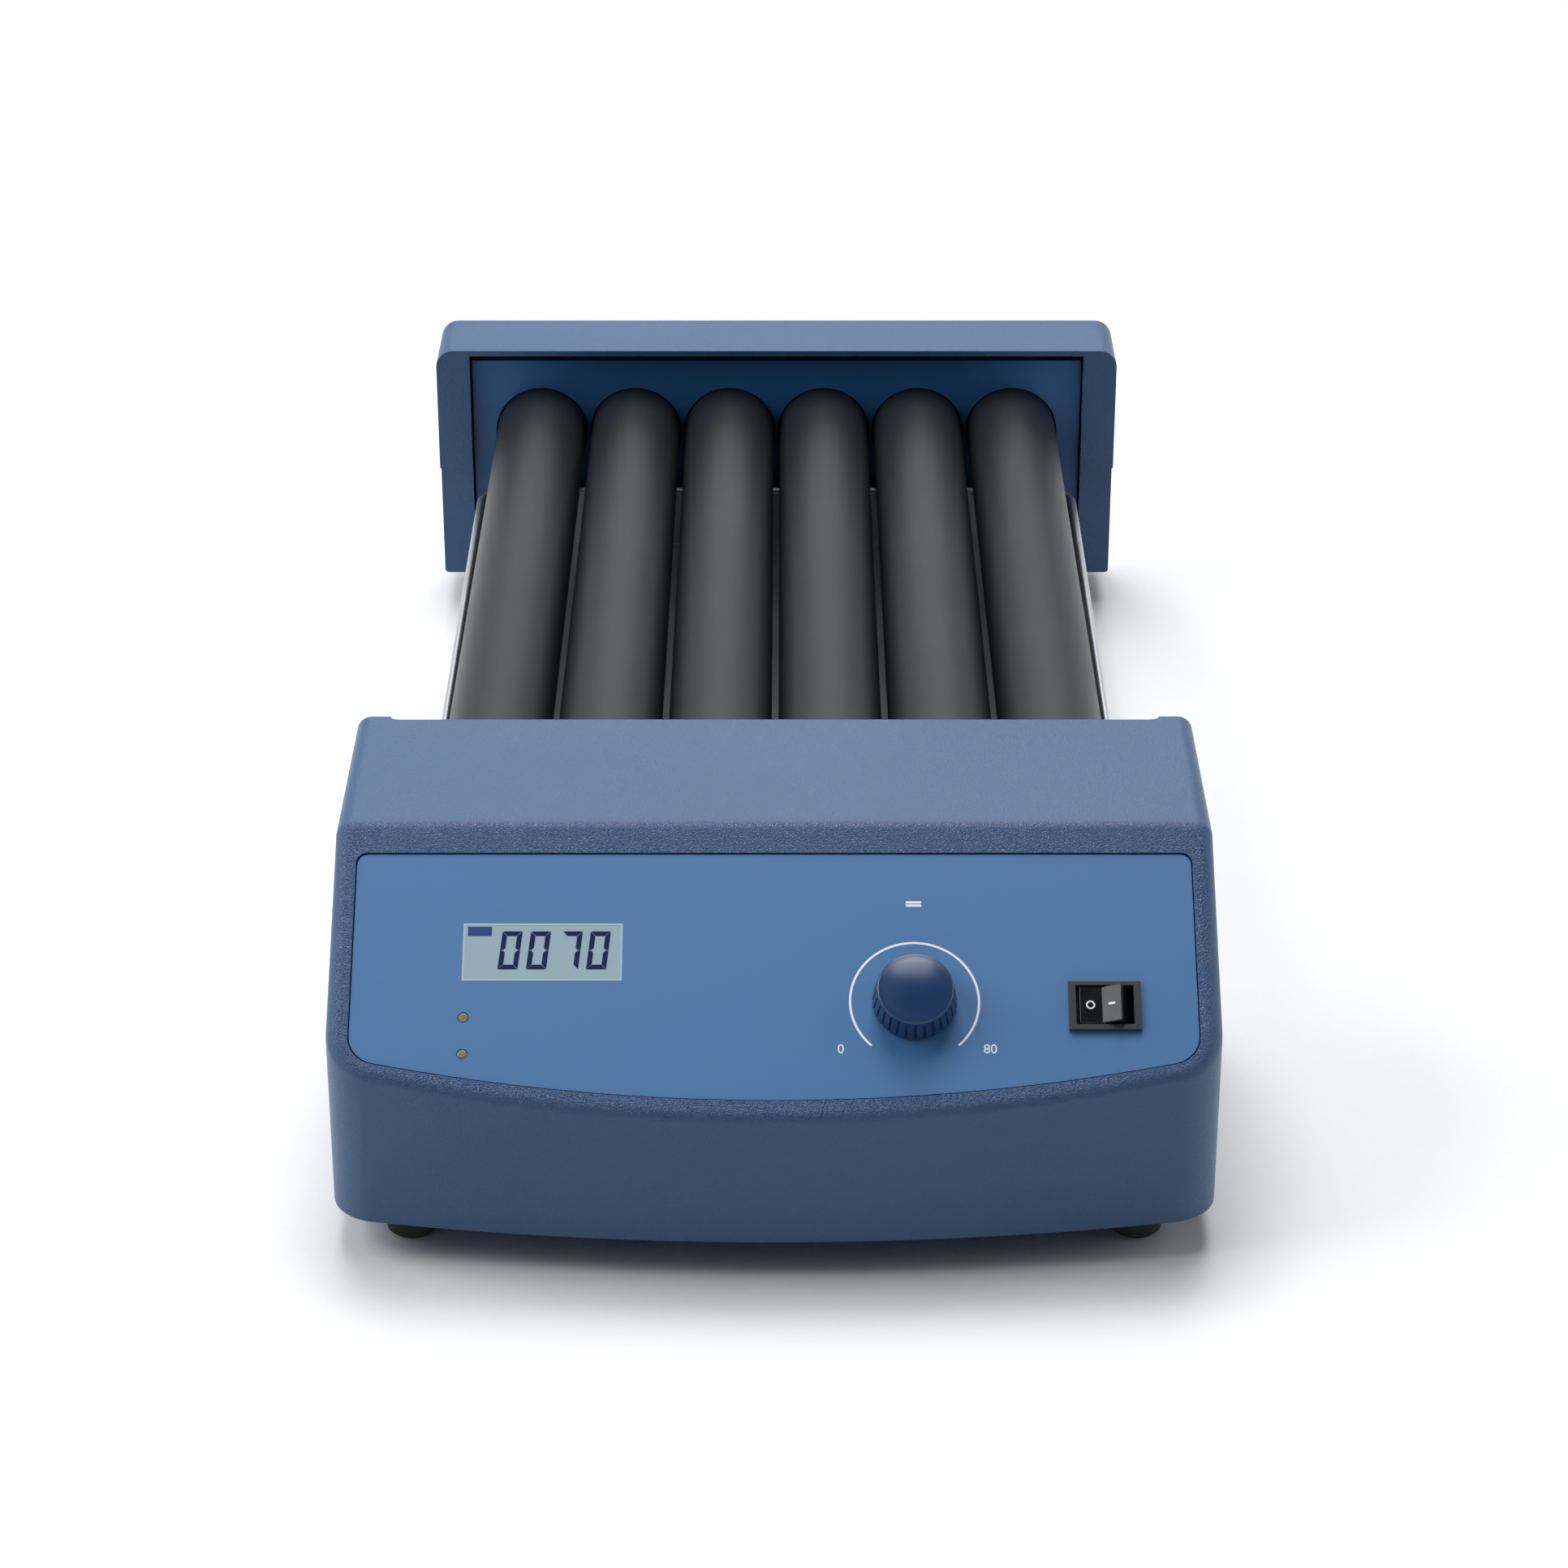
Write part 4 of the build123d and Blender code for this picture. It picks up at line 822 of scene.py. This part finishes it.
@dataclass
class Rocker:
    """The mains switch's rocker with its two moulded facets and the printed on and off marks."""

    pivot: tuple[float, float, float] = (86.6, 53.2, -3.7)
    tilt: float = 12.0
    half_length: float = 5.2
    corners: tuple[tuple[float, float], ...] = (
        (-5.6, 5.8), (0.0, 4.4), (5.6, 5.8), (7.1, 0.0), (3.5, -3.4), (-3.5, -3.4), (-7.1, 0.0),
    )
    radii: tuple[float, ...] = (0.3, 1.5, 0.3, 1.2, 0.8, 0.8, 1.2)
    easing: float = 0.25
    pin: tuple[float, float] = (1.0, 5.9)
    pin_columns: int = 24
    ring: Ring = Ring((0.0, 0.0), 1.0, 0.4)
    dash: tuple[float, float] = (1.9, 0.6)

    def build(self) -> None:
        """Builds the rocker, its pins and its two marks."""
        across = FACE.moved(*self.pivot).leaned(self.tilt)
        along = Basis(across.origin, across.first, across.third, across.second)
        outline = rounded(self.corners, self.radii)
        end = self.half_length
        eased = end - self.easing
        rows = ((self.easing, -end), (0.0, -eased), (0.0, eased), (self.easing, end))
        pin = np.array([(self.pin[0], -self.pin[1]), (self.pin[0], self.pin[1])])
        grids = [*along.slab(outline, rows), turned(pin, along, self.pin_columns)]
        Piece("rocker", grids, ROCKER, "power_rocker", ("switch_rocker",), "black_plastic").build()
        (tip, tip_height), (_, waist_height) = self.corners[:2]
        slant = math.degrees(math.atan2(tip_height - waist_height, -tip))
        rise = (tip_height + waist_height) / 2.0
        left = across.moved(tip / 2.0, 0.0, rise).leaned(-slant)
        right = across.moved(-tip / 2.0, 0.0, rise).leaned(slant)
        Print("off_mark", INK, "power_rocker", left, 0.0).build(rings=[self.ring])
        Print("on_mark", INK, "power_rocker", right, 0.0).build([box((0.0, 0.0), self.dash)])


@dataclass
class Roller:
    """One rubber-sleeved roller, whose body leans to its own turning axis."""

    number: int
    near: tuple[float, float, float]
    length: float = 306.36
    lean: float = 1.0972
    radius: float = 15.25
    bore: float = 12.25
    rounding: float = 0.8
    columns: int = 96

    def build(self) -> bpy.types.Object:
        """Builds the sleeve: a tube with rounded end edges, turned about the leaning line.

        The line runs from the near end along (0, cos lean, -sin lean).

        Returns:
            The sleeve's surface.
        """
        cos, sin = math.cos(math.radians(self.lean)), math.sin(math.radians(self.lean))
        line = Basis(self.near, (1.0, 0.0, 0.0), (0.0, sin, cos), (0.0, cos, -sin))
        inner = self.radius - self.rounding
        profile = np.concatenate([
            [(self.bore, 0.0)],
            arc((inner, self.rounding), self.rounding, -90.0, 0.0),
            arc((inner, self.length - self.rounding), self.rounding, 0.0, 90.0),
            [(self.bore, self.length)],
        ])
        name, body = f"roller_sleeve_{self.number}", f"roller_{self.number}"
        tube = turned(profile, line, self.columns, looped=True)
        return Piece(f"{name}_surface", [tube], ROLLER, body, (name,), "roller_rubber").build()


@dataclass
class RollerRow:
    """The rollers side by side, numbered from the left."""

    count: int = 6
    pitch: float = 32.5
    near: tuple[float, float] = (-96.1, 69.9)

    def build(self) -> list[bpy.types.Object]:
        """Builds the rollers, whose middles lie at (number - (count + 1) / 2) * pitch.

        Returns:
            A sleeve's surface for each.
        """
        middle = (self.count + 1) / 2.0
        numbers = range(1, self.count + 1)
        return [Roller(number, ((number - middle) * self.pitch, *self.near)).build() for number in numbers]


CURVE_PER_CAPITAL = 1.4  # a text curve's size for a capital's height of one


def print_number(name: str, text: str, height: float, place: tuple[float, float]) -> bpy.types.Object:
    """Prints a number on the control panel in white.

    Args:
        name: the piece's name.
        text: what it reads.
        height: the digits' height.
        place: its middle across and down the face.

    Returns:
        The printed piece.
    """
    curve = bpy.data.curves.new(f"{name}_curve", "FONT")
    curve.body = text
    curve.align_x, curve.align_y = "CENTER", "CENTER"
    curve.size = height * CURVE_PER_CAPITAL
    curve.extrude = PRINT_MM / 2.0
    flat = bpy.data.objects.new(f"{name}_curve", curve)
    bpy.context.scene.collection.objects.link(flat)
    mesh = bpy.data.meshes.new_from_object(flat.evaluated_get(bpy.context.evaluated_depsgraph_get()))
    bpy.data.objects.remove(flat)
    mesh.name = name
    points = np.empty(len(mesh.vertices) * 3, np.float32)
    mesh.vertices.foreach_get("co", points)
    across, up, out = points.reshape(-1, 3).T
    level = PANEL_TOP + PRINT_MM / 2.0
    placed = FACE.place(place[0] + across, place[1] - up, level + out) * METRE
    mesh.vertices.foreach_set("co", placed.astype(np.float32).ravel())
    close_and_turn(mesh, fill=False)
    return dress(mesh, name, INK, "housing", (), "")


@dataclass
class Dial:
    """The printed scale round the speed knob."""

    centre: tuple[float, float] = (36.8, 51.8)
    radius: float = 16.9
    stroke: float = 0.62
    opening: float = 43.0
    bars: tuple[float, float] = (36.9, 23.5)
    bar: tuple[float, float] = (4.1, 0.68)
    bar_pitch: float = 0.92
    number_height: float = 2.6
    numbers: tuple[tuple[str, float, float], ...] = (("0", 17.4, 65.4), ("80", 56.4, 65.4))

    def build(self) -> None:
        """Builds the arc, the two bars over it and the numbers at its ends.

        The arc is open towards the operator, by the same angle on both sides of the downhill line.
        """
        start, end = 90.0 + self.opening, 450.0 - self.opening
        sweep = ring_part(self.centre, self.radius, self.stroke, start, end)
        across, down = self.bars
        bars = [box((across, down + side * self.bar_pitch / 2.0), self.bar) for side in (-1, 1)]
        Print("dial_scale", INK, "housing", FACE, PANEL_TOP).build([sweep, *bars])
        for text, u, v in self.numbers:
            print_number(f"dial_number_{text}", text, self.number_height, (u, v))


@dataclass
class Display:
    """The liquid crystal display: slanted seven-segment numerals and a small reversed field."""

    number: str = "0070"
    first: tuple[float, float] = (-69.6, 37.0)
    pitch: tuple[float, ...] = (0.0, 7.5, 15.9, 23.3)
    size: tuple[float, float] = (5.3, 11.0)
    stroke: float = 1.35
    gap: float = 0.09
    slant: float = 0.1
    block: tuple[float, float] = (-77.7, 31.5)
    block_size: tuple[float, float] = (6.3, 2.7)
    window: tuple[float, float] = (42.1, 16.6)
    window_middle: tuple[float, float] = (-61.05, 37.5)
    frame_line: float = 0.55

    def build(self) -> None:
        """Builds the numerals, the field and the window's pale outline as prints on the window."""
        shapes = [
            self._placed(outline, self.first[0] + shift)
            for digit, shift in zip(self.number, self.pitch)
            for outline in self._segments(SEGMENTS[digit])
        ]
        Print("display_numerals", SEGMENT_INK, "housing", FACE, PANEL_TOP).build(shapes)
        field = box(self.block, self.block_size)
        Print("display_field", FIELD_INK, "housing", FACE, PANEL_TOP).build([field])
        wide, tall, line = *self.window, self.frame_line
        u, v = self.window_middle
        sides = [box((u + side * (wide - line) / 2.0, v), (line, tall)) for side in (-1, 1)]
        ends = [box((u, v + side * (tall - line) / 2.0), (wide - 2.0 * line, line)) for side in (-1, 1)]
        Print("display_frame", FRAME_INK, "housing", FACE, PANEL_TOP).build(sides + ends)

    def _placed(self, outline: np.ndarray, middle: float) -> np.ndarray:
        """Returns an outline moved to its digit's middle, where its first becomes first - second * slant."""
        across, down = outline.T
        return np.stack([middle + across - down * self.slant, self.first[1] + down], axis=-1)

    def _segments(self, lit: str) -> list[np.ndarray]:
        """Draws a digit's lit segments, with ends cut at 45 degrees where they meet.

        Args:
            lit: letters of the lit segments, a to g from the top clockwise with g in the middle.

        Returns:
            One outline for each, about the digit's middle.
        """
        wide, tall = self.size[0] / 2.0, self.size[1] / 2.0
        stroke, half, gap = self.stroke, self.stroke / 2.0, self.gap
        bar = np.array([
            (gap - wide, -tall), (wide - gap, -tall),
            (wide - stroke - gap, stroke - tall), (stroke + gap - wide, stroke - tall),
        ])
        post = np.array([
            (wide, gap - tall), (wide, -gap), (wide - half, -gap),
            (wide - stroke, -half), (wide - stroke, stroke + gap - tall),
        ])
        inner = wide - half - gap
        middle = np.array([
            (-inner, 0.0), (half - inner, -half), (inner - half, -half),
            (inner, 0.0), (inner - half, half), (half - inner, half),
        ])
        places = {
            "a": (bar, 1, 1), "d": (bar, 1, -1), "g": (middle, 1, 1),
            "b": (post, 1, 1), "c": (post, 1, -1), "f": (post, -1, 1), "e": (post, -1, -1),
        }
        return [places[letter][0] * np.array(places[letter][1:]) for letter in lit]


@dataclass
class Lamps:
    """Two domed indicator lenses."""

    across: float = -81.3
    down: tuple[float, ...] = (56.3, 66.7)
    radius: float = 1.35
    rounding: float = 0.45
    foot: float = -12.0
    columns: int = 32

    def build(self) -> bpy.types.Object:
        """Builds both lenses as turned rods whose heads are rounded by a quarter circle.

        Returns:
            Both lenses as one piece.
        """
        crown = arc((self.radius - self.rounding, PANEL_TOP - self.rounding), self.rounding, 90.0, 0.0)
        profile = np.concatenate([[(0.0, PANEL_TOP)], crown, [(self.radius, self.foot), (0.0, self.foot)]])
        grids = [turned(profile, FACE.moved(self.across, down, 0.0), self.columns) for down in self.down]
        return Piece("lamps", grids, LENS, "housing", ("indicator_lenses",), "lens").build()


@dataclass
class EarRamps:
    """The hollow ramps that lead from the cover's rear edge out to its two ears."""

    edge: tuple[float, float] = (108.0, -98.6)
    reach: tuple[float, float] = (2.6, 2.0)
    sunk: float = 0.3
    height: tuple[float, float] = (96.3, 98.95)
    steps: int = 8

    def build(self) -> bpy.types.Object:
        """Builds both ramps as slabs whose hollow edge is a quarter ellipse.

        Its points are (x - wide + wide * sin a, y + long - long * cos a) for a from 0 to 90 degrees, which
        leave both faces at a tangent.

        Returns:
            Both ramps as one piece.
        """
        x, y = self.edge
        wide, long = self.reach
        turn = np.radians(np.linspace(0.0, 90.0, self.steps + 1))
        hollow = np.stack([x - wide + wide * np.sin(turn), y + long - long * np.cos(turn)], axis=-1)
        back = [(x + self.sunk, y + long), (x + self.sunk, y - self.sunk), (x - wide, y - self.sunk)]
        outline = np.concatenate([hollow, back])
        grids = []
        rows = [(0.0, level) for level in self.height]
        for side in (-1.0, 1.0):
            grids += Basis((0.0, 0.0, 0.0)).slab(outline * (side, 1.0), rows)
        return Piece("ear_ramps", grids, HOUSING, "housing").build()


# The mixer


EASED_MM = 0.2  # the width of a copied node's eased edges
EASED_STRIPS = 2


class Mixer:
    """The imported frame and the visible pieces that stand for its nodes."""

    def __init__(self, frame: Mapping[str, Any]) -> None:
        """Reads which body carries each node and which slot it is painted from.
        """
        self.nodes: Mapping[str, bpy.types.Object] = frame["nodes"]
        record = frame["record"]
        self.body = {node: body for body, nodes in record["behaviour"]["bodies"].items() for node in nodes}
        self.slot = {part["node"]: part["material_slot"] for part in record["subparts"]}
        self.shown: set[str] = set()

    def copy(self, node: str, finish: Finish | None = None) -> bpy.types.Object:
        """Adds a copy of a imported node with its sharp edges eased.

        Args:
            node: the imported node.
            finish: what it is made of, or None for its slot's finish.

        Returns:
            The new surface.
        """
        mesh = self.nodes[node].data.copy()
        mesh.name = f"{node}_surface"
        close_and_turn(mesh, fill=False)
        self.shown.add(node)
        slot = self.slot[node]
        piece = dress(mesh, mesh.name, finish or BY_SLOT[slot], self.body[node], (node,), slot)
        ease = piece.modifiers.new("Eased edges", "BEVEL")
        ease.width = EASED_MM * METRE
        ease.segments = EASED_STRIPS
        ease.limit_method = "ANGLE"
        ease.angle_limit = math.radians(CREASE_DEGREES)
        ease.harden_normals = False
        piece.modifiers.move(1, 0)
        return piece

    def build(self) -> None:
        """Builds every piece; a node without a surface of its own gets a smooth copy."""
        Knob().build()
        Rocker().build()
        Dial().build()
        Display().build()
        Lamps().build()
        EarRamps().build()
        sleeves = RollerRow().build()
        self.shown.update(sleeve.name.removesuffix("_surface") for sleeve in sleeves)
        self.shown.update(("speed_knob", "switch_rocker", "indicator_lenses"))
        self.copy("switch_housing", FRAME_GREY)
        for node in self.nodes:
            if node not in self.shown:
                self.copy(node)


# Studio

AIM = (0.0, 0.0, 0.05)  # what the lights face, in metres


def looked_at(tree: bpy.types.NodeTree) -> bpy.types.NodeSocket:
    """Adds the nodes that tell what is seen from what only gives light.

    Args:
        tree: the node tree that takes them.

    Returns:
        One where a ray comes from the camera, a reflection or glass, and zero elsewhere.
    """
    path = add_node(tree, "ShaderNodeLightPath")
    seen = path.outputs["Is Camera Ray"]
    for kind in ("Is Glossy Ray", "Is Transmission Ray"):
        seen = add_node(
            tree, "ShaderNodeMath", {"operation": "MAXIMUM"}, {0: seen, 1: path.outputs[kind]}
        ).outputs[0]
    return seen


@dataclass(frozen=True)
class SoftLight:
    """A square lamp that faces the mixer: its place and side in metres, its power in watts."""

    name: str
    place: tuple[float, float, float]
    side: float
    power: float

    def build(self) -> None:
        """Adds the lamp, turned to face AIM."""
        data = bpy.data.lights.new(self.name, "AREA")
        data.size = self.side
        data.energy = self.power
        light = bpy.data.objects.new(self.name, data)
        light.location = self.place
        light.rotation_euler = (Vector(AIM) - light.location).to_track_quat("-Z", "Y").to_euler()
        bpy.context.scene.collection.objects.link(light)


# The two high lights lift the tops and the rollers, the side lights model the ends
LIGHTS = (
    SoftLight("overhead", (0.0, 0.4, 2.2), 1.2, 18.0),
    SoftLight("back_high", (0.0, 1.1, 2.1), 1.5, 35.0),
    SoftLight("back_low", (0.0, 2.0, 0.9), 1.2, 2.5),
    SoftLight("left_side", (-1.4, -0.1, 1.25), 1.2, 21.0),
    SoftLight("right_side", (1.6, -0.1, 0.9), 1.2, 7.0),
    SoftLight("left_front", (-1.1, -1.0, 1.1), 1.0, 2.0),
)


@dataclass
class Studio:
    """Pale bench, white surroundings, soft lights and the camera, in metres and degrees."""

    bench_side: float = 8.0
    bench_colour: str = "#F4F5F6"
    bench_shade: str = "#F1F2F3"
    bench_roughness: float = 0.6
    bench_grain_mm: tuple[float, float] = (2.0, 0.01)
    white_from: float = 0.55
    white_to: float = 1.0
    soft_colour: str = "#F2F5FA"
    soft_strength: float = 0.05
    wall_colour: str = "#DFE3E8"
    ceiling_colour: str = "#3A3D42"
    ceiling_rise: tuple[float, float] = (0.5, 0.9)
    camera_place: tuple[float, float, float] = (0.0026, -1.1692, 0.6241)
    camera_pitch: float = 27.0
    camera_near: float = 0.05
    lens_mm: float = 97.497
    sensor_mm: float = 36.0

    def build(self) -> None:
        """Builds the bench, the world, the lights and the camera."""
        self._bench()
        self._world()
        for light in LIGHTS:
            light.build()
        self._camera()

    def _bench(self) -> None:
        """Adds a wide flat bench top that is not part of the mixer."""
        half = self.bench_side / 2.0
        mesh = bpy.data.meshes.new("bench")
        corners = [(-half, -half, 0.0), (half, -half, 0.0), (half, half, 0.0), (-half, half, 0.0)]
        mesh.from_pydata(corners, [], [(0, 1, 2, 3)])
        mesh.materials.append(self._bench_top())
        bench = bpy.data.objects.new("bench", mesh)
        bpy.context.scene.collection.objects.link(bench)

    def _bench_top(self) -> bpy.types.Material:
        """Makes the bench's matt laminate, which is seen as white from some way outside the mixer.

        The share of white is (distance - near) / (far - near), held between zero and one, and only for
        what is seen directly, in a reflection or through glass: the light on the mixer stays the same.

        Returns:
            The bench's material.
        """
        colours = (self.bench_colour, self.bench_shade)
        top = Finish("pale_bench", *colours, self.bench_roughness, Relief.SPARK, *self.bench_grain_mm)
        material = top.material()
        tree = material.node_tree
        place = add_node(tree, "ShaderNodeTexCoord").outputs["Object"]
        distance = add_node(
            tree, "ShaderNodeVectorMath", {"operation": "LENGTH"}, {0: place}
        ).outputs["Value"]
        share = add_node(
            tree, "ShaderNodeMapRange", {1: self.white_from, 2: self.white_to}, {0: distance}
        ).outputs[0]
        share = add_node(
            tree, "ShaderNodeMath", {"operation": "MULTIPLY"}, {0: share, 1: looked_at(tree)}
        ).outputs[0]
        white = add_node(tree, "ShaderNodeEmission", {"Color": (1.0, 1.0, 1.0, 1.0), "Strength": 1.0})
        output = tree.nodes["Material Output"]
        mix = add_node(
            tree,
            "ShaderNodeMixShader",
            None,
            {0: share, 1: tree.nodes["Principled BSDF"].outputs[0], 2: white.outputs[0]},
        )
        tree.links.new(mix.outputs[0], output.inputs["Surface"])
        return material

    def _world(self) -> None:
        """Fills the room with faint even light, and shows white walls under a grey ceiling."""
        world = bpy.data.worlds.new("studio")
        world.use_nodes = True
        bpy.context.scene.world = world
        tree = world.node_tree
        tree.nodes.clear()
        soft = add_node(
            tree, "ShaderNodeBackground", {"Color": linear(self.soft_colour), "Strength": self.soft_strength}
        )
        place = add_node(tree, "ShaderNodeTexCoord").outputs["Generated"]
        height = add_node(tree, "ShaderNodeSeparateXYZ", None, {0: place}).outputs["Z"]
        start, end = self.ceiling_rise
        rise = add_node(tree, "ShaderNodeMapRange", {1: start, 2: end}, {0: height}).outputs[0]
        wall = add_node(
            tree,
            "ShaderNodeMix",
            {"data_type": "RGBA", 6: linear(self.wall_colour), 7: linear(self.ceiling_colour)},
            {0: rise},
        ).outputs[2]
        white = add_node(tree, "ShaderNodeBackground", {"Strength": 1.0}, {"Color": wall})
        mix = add_node(
            tree, "ShaderNodeMixShader", None, {0: looked_at(tree), 1: soft.outputs[0], 2: white.outputs[0]}
        )
        add_node(tree, "ShaderNodeOutputWorld", None, {"Surface": mix.outputs[0]})

    def _camera(self) -> None:
        """Adds the camera, square on to the mixer's front and looking down at it."""
        data = bpy.data.cameras.new("camera")
        data.lens = self.lens_mm
        data.sensor_width = self.sensor_mm
        data.clip_start = self.camera_near
        camera = bpy.data.objects.new("camera", data)
        camera.location = self.camera_place
        camera.rotation_euler = (math.radians(90.0 - self.camera_pitch), 0.0, 0.0)
        bpy.context.scene.collection.objects.link(camera)
        bpy.context.scene.camera = camera


def main() -> None:
    """Loads the frame, builds the mixer and its studio."""
    logging.basicConfig(level=logging.INFO, format="%(name)s %(message)s")
    bpy.context.scene.view_settings.view_transform = "Standard"
    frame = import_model()
    Mixer(frame).build()
    Studio().build()


if __name__ == "__main__":
    main()
